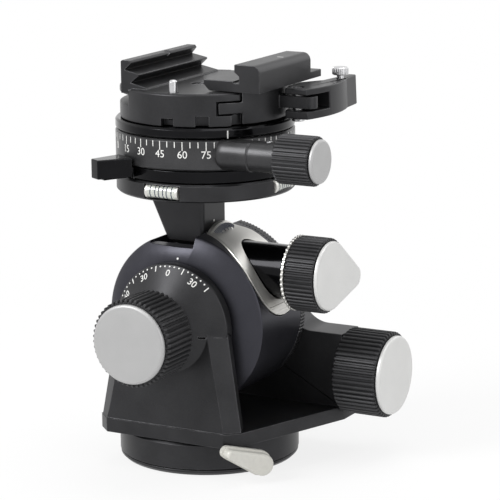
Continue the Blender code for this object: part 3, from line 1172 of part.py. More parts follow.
# Table that turns with the clamp
def build_pan_table(body):
    low = RING_TOP + GAP
    edge = PAN_EDGE
    index = turned("index_ring", [
        (0, low), (INDEX_RADIUS - edge, low), (INDEX_RADIUS, low + edge),
        (INDEX_RADIUS, INDEX_TOP - edge), (INDEX_RADIUS - edge, INDEX_TOP), (0, INDEX_TOP)],
        sides=SIDES_LARGE)
    spindle = ring("pan_spindle", 0, PAN_SPINDLE_RADIUS, PAN_SPINDLE_BOTTOM, RING_TOP)
    nut_high = RELEASE_TOP
    nut = ring("pan_spindle_nut", PAN_SPINDLE_RADIUS + GAP, PAN_NUT_RADIUS,
               nut_high - PAN_NUT_HEIGHT, nut_high, sides=SIDES_SMALL)
    wheel_low = PAN_WORM_HEIGHT - PAN_WHEEL_THICKNESS / 2
    wheel_high = PAN_WORM_HEIGHT + PAN_WHEEL_THICKNESS / 2
    wheel = prism("pan_worm_wheel", ribbed(PAN_WHEEL_RADIUS, PAN_WHEEL_RADIUS - PAN_WHEEL_ROOT,
                                           PAN_WHEEL_TEETH), wheel_low, wheel_high)
    hub = ring("hub", 0, PAN_HUB_RADIUS, wheel_high - PLAY, RING_TOP, sides=SIDES_SMALL)
    bore = ring("cutter", 0, PAN_SPINDLE_RADIUS + GAP, wheel_low - OVERRUN,
                RING_TOP + OVERRUN)
    fit(shape(index, cut=screw_bores()), body, "gloss_black")
    fit(shape(spindle, cut=screw_bores()), body, "steel")
    fit(nut, body, "steel")
    fit(shape(wheel, add=[hub], cut=[bore]), body, "bronze")
    seat = CLAMP_FLOOR - CLAMP_SCREW_SEAT
    top = CLAMP_FLOOR - GAP
    for name, side in (("clamp_screw_front", -1), ("clamp_screw_rear", 1)):
        screw = turned(name, [
            (0, CLAMP_SCREW_END), (CLAMP_SCREW_RADIUS, CLAMP_SCREW_END),
            (CLAMP_SCREW_RADIUS, seat), (CLAMP_SCREW_HEAD, seat), (CLAMP_SCREW_HEAD, top),
            (CLAMP_SCREW_HEX, top), (CLAMP_SCREW_HEX, top - CLAMP_SCREW_HEX_DEPTH),
            (0, top - CLAMP_SCREW_HEX_DEPTH)], screw_frame(side), SIDES_TINY)
        fit(screw, body, "steel")
    build_clamp_body(body)


def screw_frame(side):
    return frame_at("Z", (0, side * CLAMP_SCREW_OFFSET, 0))


def screw_bores():
    """Holes for the shanks of the two clamp screws, from their tips to the clamp's floor."""
    return [ring("cutter", 0, CLAMP_SCREW_RADIUS + GAP, CLAMP_SCREW_END - GAP,
                 CLAMP_FLOOR + GAP, screw_frame(side), SIDES_TINY) for side in (-1, 1)]


def fixed_rail():
    """Left rail with two dovetail grooves, one above the other, and a sloping rear end."""
    foot = CLAMP_SIDE_CUT_TOP + PLAY
    slope = (RAIL_FOOT_REAR - RAIL_TOP_REAR) / (CLAMP_TOP - foot)
    outline = [
        (-RAIL_OUTER, foot), (-RAIL_LOWER_FIN, foot),
        (-RAIL_LOWER_FIN, CLAMP_FLOOR + RAIL_FIN_THICKNESS),
        (-RAIL_LOWER_APEX, RAIL_LOWER_APEX_HEIGHT),
        (-RAIL_FIN, RAIL_FIN_HEIGHT - RAIL_FIN_THICKNESS), (-RAIL_FIN, RAIL_FIN_HEIGHT),
        (-RAIL_UPPER_APEX, RAIL_UPPER_APEX_HEIGHT),
        (-RAIL_LIP, CLAMP_TOP - RAIL_LIP_THICKNESS), (-RAIL_LIP - GAP, CLAMP_TOP),
        (-RAIL_OUTER + RAIL_FIN_THICKNESS, CLAMP_TOP),
        (-RAIL_OUTER, CLAMP_TOP - RAIL_FIN_THICKNESS)]
    frame = Matrix(((1, 0, 0), (0, 0, -1), (0, 1, 0))).to_4x4()
    rear = [(x, z, (z - foot) * slope - RAIL_FOOT_REAR) for x, z in outline]
    front = [(x, z, RAIL_FRONT) for x, z in outline]
    return loft("rail", [rear, front], frame)


def rail_notch():
    """Small sight notch across the top lip of the rail."""
    low = CLAMP_TOP - 2 * RAIL_LIP_THICKNESS
    outline = [(-RAIL_NOTCH_HALF, CLAMP_TOP + GAP), (0, low), (RAIL_NOTCH_HALF, CLAMP_TOP + GAP)]
    frame = Matrix.Translation((0, RAIL_NOTCH_Y, 0)) @ Matrix(
        ((0, 0, 1), (1, 0, 0), (0, 1, 0))).to_4x4()
    return prism("cutter", outline, -RAIL_OUTER + 2 * RAIL_LIP_THICKNESS, 0, frame)


def build_clamp_body(body):
    edge = PAN_EDGE
    round_body = turned("clamp_body", [
        (0, CLAMP_BOTTOM), (CLAMP_RADIUS, CLAMP_BOTTOM), (CLAMP_RADIUS, CLAMP_FLOOR - edge),
        (CLAMP_RADIUS - edge, CLAMP_FLOOR), (0, CLAMP_FLOOR)], sides=SIDES_LARGE)
    cutters = [
        block("cutter", (CLAMP_SPLIT, -2 * CLAMP_RADIUS, CLAMP_BOTTOM - OVERRUN),
              (2 * CLAMP_RADIUS, 2 * CLAMP_RADIUS, CLAMP_TOP)),
        block("cutter", (-2 * CLAMP_RADIUS, -2 * CLAMP_RADIUS, CLAMP_SIDE_CUT_BOTTOM),
              (-CLAMP_SIDE_CUT, 2 * CLAMP_RADIUS, CLAMP_SIDE_CUT_TOP)),
        block("cutter", (JAW_TONGUE_LEFT - GAP, -2 * CLAMP_RADIUS, JAW_TONGUE_BOTTOM - GAP),
              (2 * CLAMP_RADIUS, 2 * CLAMP_RADIUS, JAW_TONGUE_TOP + GAP)),
        rail_notch(),
        ring("cutter", 0, SAFETY_PIN_RADIUS + GAP, CLAMP_FLOOR - SAFETY_PIN_DEPTH
             - SAFETY_PIN_TRAVEL - GAP, CLAMP_TOP,
             frame_at("Z", (SAFETY_PIN_X, SAFETY_PIN_Y, 0)), SIDES_TINY)]
    cutters.append(ring("cutter", 0, DRAW_BAR_RADIUS + GAP, DRAW_BAR_START - PLAY,
                        CLAMP_SPLIT + OVERRUN, draw_bar_frame(), SIDES_TINY))
    shank = CLAMP_SCREW_RADIUS + GAP
    head = CLAMP_SCREW_HEAD + GAP
    seat = CLAMP_FLOOR - CLAMP_SCREW_SEAT - GAP
    for side in (-1, 1):
        cutters.append(turned("cutter", [
            (0, CLAMP_BOTTOM - OVERRUN), (shank, CLAMP_BOTTOM - OVERRUN), (shank, seat),
            (head, seat), (head, CLAMP_FLOOR + OVERRUN), (0, CLAMP_FLOOR + OVERRUN)],
            screw_frame(side), SIDES_TINY))
    for i in range(CLAMP_NOTCHES):
        notch = block("cutter", (CLAMP_RADIUS - CLAMP_NOTCH_DEPTH, -CLAMP_NOTCH_WIDTH / 2,
                                 CLAMP_BOTTOM - OVERRUN),
                      (CLAMP_RADIUS + OVERRUN, CLAMP_NOTCH_WIDTH / 2,
                       CLAMP_BOTTOM + CLAMP_NOTCH_HEIGHT))
        turn = CLAMP_NOTCH_TURN + 2 * math.pi * i / CLAMP_NOTCHES
        notch.data.transform(Matrix.Rotation(turn, 4, "Z"))
        cutters.append(notch)
    made = shape(round_body, add=[fixed_rail()], cut=cutters)
    fit(made, body, "black_anodised")


def draw_bar_frame():
    return frame_at("X", (0, 0, (JAW_TONGUE_BOTTOM + JAW_TONGUE_TOP) / 2))


# Moving jaw
def jaw_rail():
    lip_low = CLAMP_TOP - JAW_LIP_DEPTH
    slab_low = CLAMP_FLOOR + GAP
    outline = [
        (JAW_SLAB_LEFT, JAW_SLAB_TOP), (JAW_SLAB_LEFT, slab_low + JAW_SLAB_CHAMFER),
        (JAW_SLAB_LEFT + JAW_SLAB_CHAMFER, slab_low), (JAW_OUTER, slab_low)]
    outline += arc((JAW_OUTER - JAW_TOP_ROUND, CLAMP_TOP - JAW_TOP_ROUND), JAW_TOP_ROUND, 0,
                   math.pi / 2, CORNER_STEPS)
    relief = JAW_SLAB_TOP - JAW_RELIEF_DEPTH
    outline += [(JAW_LIP, CLAMP_TOP), (JAW_LIP, lip_low),
                (JAW_APEX, CLAMP_TOP - JAW_APEX_DROP), (JAW_APEX, relief),
                (JAW_LIP - GAP, relief), (JAW_LIP - GAP, JAW_SLAB_TOP)]
    frame = Matrix(((1, 0, 0), (0, 0, -1), (0, 1, 0))).to_4x4()
    return prism("clamp_jaw", outline, -JAW_REAR, JAW_FRONT, frame)


def build_jaw(body):
    split = CLAMP_SPLIT + GAP
    edge = PAN_EDGE
    segment = turned("segment", [
        (0, CLAMP_BOTTOM + GAP), (CLAMP_RADIUS, CLAMP_BOTTOM + GAP),
        (CLAMP_RADIUS, JAW_BLOCK_TOP - edge), (CLAMP_RADIUS - edge, JAW_BLOCK_TOP),
        (0, JAW_BLOCK_TOP)], sides=SIDES_LARGE)
    off = block("cutter", (-2 * CLAMP_RADIUS, -2 * CLAMP_RADIUS, CLAMP_BOTTOM - OVERRUN),
                (split, 2 * CLAMP_RADIUS, CLAMP_TOP))
    segment = shape(segment, cut=[off])
    tongue = block("tongue", (JAW_TONGUE_LEFT, -JAW_TONGUE_HALF, JAW_TONGUE_BOTTOM),
                   (split + OVERRUN, JAW_TONGUE_HALF, JAW_TONGUE_TOP))
    lug_y = LEVER_PIVOT_Y
    lug = block("lug", (split + OVERRUN, lug_y - LUG_HALF_WIDTH, LUG_BOTTOM),
                (LUG_TIP - LUG_HALF_WIDTH, lug_y + LUG_HALF_WIDTH, LUG_TOP))
    lug_end = ring("lug_end", 0, LUG_HALF_WIDTH - GAP, LUG_BOTTOM + GAP, LUG_TOP - GAP,
                   frame_at("Z", (LUG_TIP - LUG_HALF_WIDTH, lug_y, 0)), SIDES_SMALL)
    pin_hole = ring("cutter", 0, LEVER_PIN_RADIUS + GAP, LUG_BOTTOM - OVERRUN,
                    LUG_TOP + OVERRUN, frame_at("Z", (LEVER_PIVOT_X, lug_y, 0)), SIDES_TINY)
    bar_hole = ring("cutter", 0, DRAW_BAR_RADIUS + GAP, JAW_TONGUE_LEFT - OVERRUN,
                    DRAW_BAR_END + GAP, draw_bar_frame(), SIDES_TINY)
    bar = ring("jaw_draw_bar", 0, DRAW_BAR_RADIUS, DRAW_BAR_START, DRAW_BAR_END,
               draw_bar_frame(), SIDES_TINY)
    step = block("cutter", (JAW_LIP - GAP / 2, JAW_RAIL_REAR, JAW_SLAB_TOP),
                 (JAW_OUTER + OVERRUN, JAW_REAR + OVERRUN, CLAMP_TOP + OVERRUN))
    jaw = shape(jaw_rail(), add=[segment, tongue, lug, lug_end], cut=[pin_hole, bar_hole, step])
    fit(jaw, body, "black_anodised")
    fit(bar, body, "steel")


def lever_section(outer, height):
    """Plan of the flip lever at one height: an arc outside, a stepped edge inside."""
    start = math.asin((LEVER_NEAR_Y - LEVER_ARC_Y) / outer)
    end = math.asin((LEVER_ARC_END_Y - LEVER_ARC_Y) / outer)
    outline = arc((0, LEVER_ARC_Y), outer, start, end, 2 * CORNER_STEPS)
    outline += [(outer - LEVER_TIP_INSET, LEVER_TIP_Y), (LEVER_TIP_INNER_X, LEVER_TIP_Y),
                (LEVER_ARM_X, LEVER_ARM_Y), (LEVER_STEP_X, LEVER_STEP_Y),
                (LEVER_STEP_X, LEVER_HEEL_Y), (LEVER_HEEL_X, LEVER_NEAR_Y)]
    return [(x, y, height) for x, y in outline]


def build_lever(body):
    lever = loft("flip_lever", [lever_section(LEVER_OUTER_BOTTOM, LEVER_BOTTOM),
                                lever_section(LEVER_OUTER_TOP, LEVER_TOP)])
    slot = block("cutter", (CLAMP_SPLIT, -LEVER_SLOT_END_Y, LUG_BOTTOM - PLAY),
                 (LEVER_OUTER_BOTTOM + OVERRUN, LEVER_SLOT_END_Y, LUG_TOP + PLAY))
    pivot_bore = ring("cutter", 0, LEVER_PIN_RADIUS + GAP, LEVER_BOTTOM - OVERRUN,
                      LEVER_TOP + OVERRUN, lever_pin_frame(), SIDES_TINY)
    button = button_place()
    button_bore = ring("cutter", 0, LEVER_BUTTON_STEM + GAP,
                       LEVER_TOP - LEVER_BUTTON_DEPTH - LEVER_BUTTON_TRAVEL - GAP,
                       LEVER_TOP + OVERRUN, frame_at("Z", (*button, 0)), SIDES_TINY)
    fit(shape(lever, cut=[slot, pivot_bore, button_bore]), body, "black_anodised")
    head_top = LEVER_BOTTOM - GAP
    pin = turned("lever_pivot_pin", [
        (0, LEVER_PIN_BOTTOM), (LEVER_PIN_HEAD_RADIUS, LEVER_PIN_BOTTOM),
        (LEVER_PIN_HEAD_RADIUS, head_top), (LEVER_PIN_RADIUS, head_top),
        (LEVER_PIN_RADIUS, LEVER_TOP - GAP), (0, LEVER_TOP - GAP)], lever_pin_frame(),
        SIDES_TINY)
    fit(pin, body, "steel")


def lever_pin_frame():
    return frame_at("Z", (LEVER_PIVOT_X, LEVER_PIVOT_Y, 0))


def button_place():
    return (LEVER_BUTTON_X, LEVER_BUTTON_Y)


def build_small_pins(button_body, safety_body):
    low = LEVER_TOP + LEVER_BUTTON_TRAVEL + GAP
    button = turned("lever_button", [
        (0, LEVER_TOP - LEVER_BUTTON_DEPTH), (LEVER_BUTTON_STEM, LEVER_TOP - LEVER_BUTTON_DEPTH),
        (LEVER_BUTTON_STEM, low), (LEVER_BUTTON_RADIUS, low),
        (LEVER_BUTTON_RADIUS, LEVER_BUTTON_TOP), (0, LEVER_BUTTON_TOP)],
        frame_at("Z", (*button_place(), 0)), SIDES_SMALL)
    fit(button, button_body, "steel")
    edge = SAFETY_PIN_RADIUS / 3
    pin = turned("safety_pin", [
        (0, CLAMP_FLOOR - SAFETY_PIN_DEPTH), (SAFETY_PIN_RADIUS, CLAMP_FLOOR - SAFETY_PIN_DEPTH),
        (SAFETY_PIN_RADIUS, SAFETY_PIN_TOP - edge), (SAFETY_PIN_RADIUS - edge, SAFETY_PIN_TOP),
        (0, SAFETY_PIN_TOP)], frame_at("Z", (SAFETY_PIN_X, SAFETY_PIN_Y, 0)), SIDES_TINY)
    fit(pin, safety_body, "steel")


def main():
    for old in list(bpy.data.objects):
        bpy.data.objects.remove(old)
    base = pivot("base", (0, 0, 0))
    frame = pivot("frame", (0, 0, 0), base)
    lock = pivot("lock", (0, 0, LOCK_HEIGHT), frame)
    front = pivot("front_knob_axis", (0, 0, TILT_HEIGHT), frame)
    lower = pivot("lower_knob_axis", (0, WORM_Y, WORM_HEIGHT), frame)
    barrel = pivot("barrel_axis", (0, 0, TILT_HEIGHT), frame)
    lobe = pivot("lobe_knob_axis", (0, 0, ROCK_HEIGHT), barrel)
    lay = pivot("layshaft_axis", (0, 0, ROCK_HEIGHT - GEAR_CENTRES), barrel)
    stem = pivot("stem_axis", (0, 0, ROCK_HEIGHT), barrel)
    release = pivot("release_axis", (0, 0, RELEASE_TOP), stem)
    pan_knob = pivot("pan_knob_axis", (0, -PAN_WORM_Y, PAN_WORM_HEIGHT), stem)
    table = pivot("table_axis", (0, 0, CLAMP_BOTTOM), stem)
    jaw = pivot("jaw_slide", (0, 0, CLAMP_FLOOR), table)
    lever = pivot("lever_axis", (LEVER_PIVOT_X, LEVER_PIVOT_Y, LEVER_TOP), jaw)
    button = pivot("button_slide", (*button_place(), LEVER_TOP), lever)
    safety = pivot("safety_slide", (SAFETY_PIN_X, SAFETY_PIN_Y, CLAMP_FLOOR), table)
    build_base(base)
    build_housing(frame)
    build_frame(frame)
    build_lock_lever(lock)
    build_front_knob(front)
    build_lower_knob(lower)
    build_barrel(barrel)
    build_main_axle(barrel)
    build_saddle(barrel)
    build_tube(barrel)
    build_gear_plates(barrel)
    build_layshaft(lay)
    build_lobe_knob(lobe)
    build_stem(stem)
    build_pan_plate(stem)
    build_graduated_ring(stem)
    build_release_ring(release)
    build_pan_knob(pan_knob)
    build_pan_table(table)
    build_jaw(jaw)
    build_lever(lever)
    build_small_pins(button, safety)


main()
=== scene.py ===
# %% [markdown]
# # A geared tripod head
#
# A geared head carries a camera on a tripod and aims it with fine worm drives: one tilts a
# slotted barrel, one rocks a stem inside that barrel, and one pans the plate on top. Nearly
# every piece is turned or milled metal, so the lesson is about three things: outlines that are
# lathed or extruded, cuts, and finishes that tell anodised black, lacquer and steel apart.
#
# The measured solids of the head are loaded first. They fix every size and place. Each cell
# then makes one piece a little finer than its solid and lets it ride on the same body.

# %% Load the measured solids
import json
import math

import bmesh
import bpy
from mathutils import Matrix, Vector


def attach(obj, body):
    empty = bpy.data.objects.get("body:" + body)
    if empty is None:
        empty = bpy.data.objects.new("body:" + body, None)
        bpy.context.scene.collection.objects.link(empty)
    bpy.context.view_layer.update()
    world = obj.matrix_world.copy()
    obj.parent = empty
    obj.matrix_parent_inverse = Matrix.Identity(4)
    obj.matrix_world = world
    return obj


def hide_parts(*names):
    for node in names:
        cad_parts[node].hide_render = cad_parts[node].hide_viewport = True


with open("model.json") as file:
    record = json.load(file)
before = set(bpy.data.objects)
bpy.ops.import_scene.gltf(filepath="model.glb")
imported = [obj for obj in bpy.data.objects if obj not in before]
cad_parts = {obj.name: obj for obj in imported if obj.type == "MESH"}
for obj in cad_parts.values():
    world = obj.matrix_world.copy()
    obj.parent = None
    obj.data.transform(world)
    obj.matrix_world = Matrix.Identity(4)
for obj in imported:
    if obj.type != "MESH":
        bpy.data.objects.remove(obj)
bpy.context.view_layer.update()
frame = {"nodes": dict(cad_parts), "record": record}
scene = bpy.context.scene

# %% [markdown]
# ## Camera
#
# The photograph was taken from the front right, a little above the head, with a long lens, so
# that parallel edges stay almost parallel. The camera's place was worked out from the ellipses
# that the round pieces make. All lengths in this lesson are written in millimetres and are
# brought to metres when a piece is finished.

# %% Set up the camera
MM = 0.001
eye_place = Vector((384.54, -674.89, 240.55)) * MM
eye_right = Vector((0.8788, 0.4770, -0.0103))
eye_up = Vector((-0.0944, 0.1948, 0.9763))
eye_back = eye_right.cross(eye_up)
eye_turn = Matrix((eye_right, eye_up, eye_back)).transposed().to_4x4()
eye = bpy.data.objects.new("camera", bpy.data.cameras.new("camera"))
eye.data.lens = 172.93
eye.data.sensor_width = 36
eye.matrix_world = Matrix.Translation(eye_place) @ eye_turn
scene.collection.objects.link(eye)
scene.camera = eye
print("camera is", round(eye_place.length, 3), "m from the middle of the base")

# %% [markdown]
# ## Shapes from outlines
#
# A lathe turns an outline round an axis, and an extrusion carries an outline along a line.
# Real machined corners are never razor sharp: they catch a thin line of light. So a helper
# rounds the corners of an outline before it is used, which costs nothing and stays exact.

# %% Outline helpers
AXIS_TURNS = {
    "X": Matrix(((0, 0, 1), (1, 0, 0), (0, 1, 0))).to_4x4(),
    "Y": Matrix(((0, 1, 0), (0, 0, 1), (1, 0, 0))).to_4x4(),
    "Z": Matrix.Identity(4),
}
SIDE_VIEW = Matrix(((1, 0, 0), (0, 0, -1), (0, 1, 0))).to_4x4()


def at(axis, place=(0, 0, 0)):
    """A frame whose own Z runs along the named axis."""
    return Matrix.Translation(Vector(place)) @ AXIS_TURNS[axis]


def arc(centre, radius, start, end, steps):
    turns = [math.radians(start + (end - start) * i / steps) for i in range(steps + 1)]
    return [(centre[0] + radius * math.cos(t), centre[1] + radius * math.sin(t)) for t in turns]


def rounded(points, radius, steps=3, closed=True):
    """The outline with every real corner replaced by a small arc."""
    made = []
    for i, point in enumerate(points):
        if not closed and i in (0, len(points) - 1):
            made.append(point)
            continue
        here = Vector(point)
        back = Vector(points[i - 1]) - here
        ahead = Vector(points[(i + 1) % len(points)]) - here
        spread = back.angle(ahead, math.pi)
        cut = min(radius / math.tan(spread / 2), 0.45 * back.length, 0.45 * ahead.length)
        if spread > math.radians(165) or cut < 0.01:
            made.append(point)
            continue
        size = cut * math.tan(spread / 2)
        middle = here + (back.normalized() + ahead.normalized()).normalized() * (
            size / math.sin(spread / 2))
        first = here + back.normalized() * cut - middle
        last = here + ahead.normalized() * cut - middle
        start = math.atan2(first.y, first.x)
        swing = (math.atan2(last.y, last.x) - start + math.pi) % (2 * math.pi) - math.pi
        made += [(middle.x + size * math.cos(start + swing * s / steps),
                  middle.y + size * math.sin(start + swing * s / steps))
                 for s in range(steps + 1)]
    return made


square = [(0, 0), (9, 0), (9, 9), (0, 9)]
print("a square with rounded corners has", len(rounded(square, 1)), "points")

# %% Solids from outlines


def solid(name, bm, turn=None):
    if turn is not None:
        bmesh.ops.transform(bm, matrix=turn, verts=bm.verts)
    bmesh.ops.recalc_face_normals(bm, faces=bm.faces)
    mesh = bpy.data.meshes.new(name)
    bm.to_mesh(mesh)
    bm.free()
    made = bpy.data.objects.new(name, mesh)
    scene.collection.objects.link(made)
    return made


def band(bm, here, there):
    for i, point in enumerate(here):
        j = (i + 1) % len(here)
        bm.faces.new((point, here[j], there[j], there[i]))


def lathe(name, outline, turn=None, corner=0.0, sides=128):
    """Turns (radius, height) points; an outline from axis to axis is solid, others are rings."""
    full = outline[0][0] == 0 and outline[-1][0] == 0
    if corner:
        outline = rounded(outline, corner, closed=not full)
    bm = bmesh.new()
    loops = []
    for radius, height in (outline[1:-1] if full else outline):
        loops.append([bm.verts.new((radius * math.cos(2 * math.pi * i / sides),
                                    radius * math.sin(2 * math.pi * i / sides), height))
                      for i in range(sides)])
    for here, there in zip(loops, loops[1:]):
        band(bm, here, there)
    if full:
        bm.faces.new(loops[0])
        bm.faces.new(loops[-1])
    else:
        band(bm, loops[-1], loops[0])
    return solid(name, bm, turn)


def tube(name, inner, outer, low, high, turn=None, corner=0.0, sides=96):
    return lathe(name, [(inner, low), (outer, low), (outer, high), (inner, high)], turn, corner,
                 sides)


def loft(name, sections, turn=None):
    bm = bmesh.new()
    loops = [[bm.verts.new(point) for point in section] for section in sections]
    for here, there in zip(loops, loops[1:]):
        band(bm, here, there)
    bm.faces.new(loops[0])
    bm.faces.new(loops[-1])
    return solid(name, bm, turn)


def extrude(name, outline, low, high, turn=None, corner=0.0):
    if corner:
        outline = rounded(outline, corner)
    return loft(name, [[(x, y, z) for x, y in outline] for z in (low, high)], turn)


def block(name, low, high):
    outline = [(low[0], low[1]), (high[0], low[1]), (high[0], high[1]), (low[0], high[1])]
    return extrude(name, outline, low[2], high[2])


def bore(radius, low, high, turn=None, sides=96):
    return tube("bore", 0, radius, low, high, turn, sides=sides)


def disc(radius, depth, sides=20):
    """A thin round dot as a bmesh that faces Z."""
    bm = bmesh.new()
    bmesh.ops.create_cone(bm, cap_ends=True, segments=sides, radius1=radius, radius2=radius,
                          depth=depth)
    return bm


print("solids come from a lathe, a tube, a loft, an extrusion or a block")

# %% [markdown]
# ## Joining, cutting and softening
#
# Slots, bores and pockets are cut as a miller would cut them, with a Boolean modifier that is
# applied at once. Afterwards a narrow bevel softens the cut's edges, and weighted normals keep
# the flat faces looking flat right up to that bevel. One helper does these steps in a row.

# %% Cut and soften helpers


def bake(thing):
    """Applies a thing's modifiers and leaves a plain mesh."""
    graph = bpy.context.evaluated_depsgraph_get()
    mesh = bpy.data.meshes.new_from_object(thing.evaluated_get(graph))
    thing.modifiers.clear()
    thing.data = mesh
    return thing


def shape(base, add=(), cut=()):
    tools = [("UNION", tool) for tool in add] + [("DIFFERENCE", tool) for tool in cut]
    for kind, tool in tools:
        step = base.modifiers.new(kind, "BOOLEAN")
        step.operation = kind
        step.solver = "EXACT"
        step.object = tool
    bake(base)
    for _, tool in tools:
        bpy.data.objects.remove(tool)
    return base


def soften(thing, width=0.25, steps=2):
    bm = bmesh.new()
    bm.from_mesh(thing.data)
    bmesh.ops.remove_doubles(bm, verts=bm.verts, dist=0.02)
    bmesh.ops.dissolve_limit(bm, angle_limit=math.radians(1.0), verts=bm.verts, edges=bm.edges)
    bm.to_mesh(thing.data)
    bm.free()
    bevel = thing.modifiers.new("edges", "BEVEL")
    bevel.limit_method = "ANGLE"
    bevel.angle_limit = math.radians(32)
    bevel.width = width
    bevel.segments = steps
    bevel.use_clamp_overlap = False
    return bake(thing)


def dress(thing, finish, body, *nodes):
    """Last step of a piece: metres, finish, smooth shading, and the body it moves with."""
    thing.data.transform(Matrix.Scale(MM, 4))
    thing.data.materials.clear()
    thing.data.materials.append(finish)
    thing.data.shade_smooth()
    thing.data.set_sharp_from_angle(angle=math.radians(33))
    weigh = thing.modifiers.new("weigh", "WEIGHTED_NORMAL")
    weigh.keep_sharp = True
    bake(thing)
    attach(thing, body)
    if nodes:
        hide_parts(*nodes)
    return thing


def machine(thing, finish, body, node, add=(), cut=(), edge=0.0, steps=2):
    """Joins and cuts a piece, softens its edges, dresses it and tells how fine it is."""
    shape(thing, add, cut)
    if edge:
        soften(thing, edge, steps)
    dress(thing, finish, body, node)
    print(node, "has", len(thing.data.polygons), "faces")


def gather(name, parts, finish, body):
    """Joins several small solids or bmeshes into one piece."""
    whole = bmesh.new()
    for part in parts:
        if isinstance(part, bmesh.types.BMesh):
            part = solid("part", part)
        whole.from_mesh(part.data)
        bpy.data.objects.remove(part)
    return dress(solid(name, whole), finish, body)


print("cuts are exact, and each edge gets a narrow bevel of two or three steps")

# %% [markdown]
# ## Finishes
#
# All finishes come from one recipe. A fine noise makes the grain of blasted and anodised metal,
# in the bump and a little in the roughness. A broad, weak noise makes the tone uneven, as dye
# and handling do. A Bevel node compares the true normal with a rounded one: where they differ
# there is an edge, and there the finish takes an edge colour. That colour stands for rubbed
# edges and, where it is lighter, also for a painted highlight along the edge. Only the numbers
# change from metal to lacquer.

# %% Node helpers


def feed(tree, value, socket):
    """Links a socket to what another node gives, or writes a plain value into it."""
    if hasattr(value, "is_linked"):
        tree.links.new(value, socket)
    else:
        socket.default_value = value


def add_node(tree, kind, pick=0, settings=(), **inputs):
    """Adds a node, feeds its inputs by their labels and gives back one of its outputs."""
    node = tree.nodes.new(kind)
    for label, value in settings:
        setattr(node, label, value)
    for label, value in inputs.items():
        feed(tree, value, node.inputs[label.replace("_", " ")])
    return node.outputs[pick]


def math_node(tree, operation, *values, kind="ShaderNodeMath", pick=0):
    node = tree.nodes.new(kind)
    node.operation = operation
    for socket, value in zip(node.inputs, values):
        feed(tree, value, socket)
    return node.outputs[pick]


def calculator(tree):
    """A short form of math_node for one tree."""
    return lambda operation, *values: math_node(tree, operation, *values)


def mix_node(tree, factor, first, second):
    return add_node(tree, "ShaderNodeMix", "Result", [("data_type", "RGBA")], Factor=factor,
                    A=first, B=second)


def spread_node(tree, value, low, high, new_low, new_high):
    return add_node(tree, "ShaderNodeMapRange", Value=value, From_Min=low, From_Max=high,
                    To_Min=new_low, To_Max=new_high)


def noise_node(tree, where, size, detail=2.0):
    return add_node(tree, "ShaderNodeTexNoise", "Fac", Vector=where, Scale=1 / (size * MM),
                    Detail=detail)


print("node helpers are ready")

# %% One recipe for all finishes
BY_SLOT = {}


def make_finish(name, colour, rough, metal=0.0, grain=0.25, depth=0.010, uneven=0.10,
                rub_and_highlight_colour=None, rub_and_highlight_strength=0.5, coat=0.0, shine=0.5, turned=None, slot=None):
    """grain is the size of the grain and depth its height, both in millimetres."""
    made = bpy.data.materials.new(name)
    BY_SLOT.setdefault(slot or name, made)
    made.use_nodes = True
    tree = made.node_tree
    calc = calculator(tree)
    where = add_node(tree, "ShaderNodeTexCoord", "Object")
    fine = noise_node(tree, where, grain)
    broad = noise_node(tree, where, 9.0, 4.0)
    blend = calc("MULTIPLY_ADD", fine, 0.5, calc("MULTIPLY", broad, 0.5))
    darker = (*[c * (1 - uneven) for c in colour], 1)
    lighter = (*[min(1, c * (1 + uneven)) for c in colour], 1)
    base = mix_node(tree, spread_node(tree, blend, 0.35, 0.65, 0.0, 1.0), darker, lighter)
    # Edge colour: rubbed edges, and where it is lighter also a painted highlight along the edge.
    if rub_and_highlight_colour:
        softer = add_node(tree, "ShaderNodeBevel", 0, [("samples", 4)], Radius=0.35 * MM)
        true = add_node(tree, "ShaderNodeNewGeometry", "Normal")
        facing = math_node(tree, "DOT_PRODUCT", softer, true, kind="ShaderNodeVectorMath",
                           pick="Value")
        edge = spread_node(tree, facing, 0.99, 0.85, 0.0, 1.0)
        patchy = spread_node(tree, noise_node(tree, where, 2.5), 0.40, 0.62, 0.35, 1.0)
        rub_and_highlight_mask = calc("MULTIPLY", calc("MULTIPLY", edge, patchy), rub_and_highlight_strength)
        base = mix_node(tree, rub_and_highlight_mask, base, (*rub_and_highlight_colour, 1))
    height = fine
    if turned:
        axis, middle, pitch = turned
        shifted = add_node(tree, "ShaderNodeMapping", Vector=where,
                           Location=[-c * MM for c in middle])
        rings = add_node(tree, "ShaderNodeTexWave", "Fac", [("wave_type", "RINGS"),
                         ("rings_direction", axis)], Vector=shifted, Distortion=0.4,
                         Scale=1 / (pitch * MM))
        height = calc("MULTIPLY_ADD", rings, 0.8, fine)
    bumpy = add_node(tree, "ShaderNodeBump", Strength=0.35, Distance=depth * MM, Height=height)
    for label, value in (
            ("Base Color", base), ("Metallic", metal), ("Normal", bumpy),
            ("Roughness", spread_node(tree, blend, 0.3, 0.7, rough - 0.05, rough + 0.05)),
            ("Coat Weight", coat), ("Coat Roughness", 0.06), ("Specular IOR Level", shine)):
        feed(tree, value, tree.nodes["Principled BSDF"].inputs[label])
    return made


print("one recipe makes every finish")

# %% The metals
TILT_HEIGHT = 48.25
ROCK_HEIGHT = 64.5
TILT = (0, 0, TILT_HEIGHT)
ROCK = (0, 0, ROCK_HEIGHT)
TILT_AXIS = at("Y", TILT)
ROCK_AXIS = at("X", ROCK)
black = make_finish(
    "black_anodised", (0.036, 0.036, 0.038), 0.37, metal=0.70, uneven=0.18,
    rub_and_highlight_colour=(0.26, 0.26, 0.27), rub_and_highlight_strength=0.55, shine=0.2)
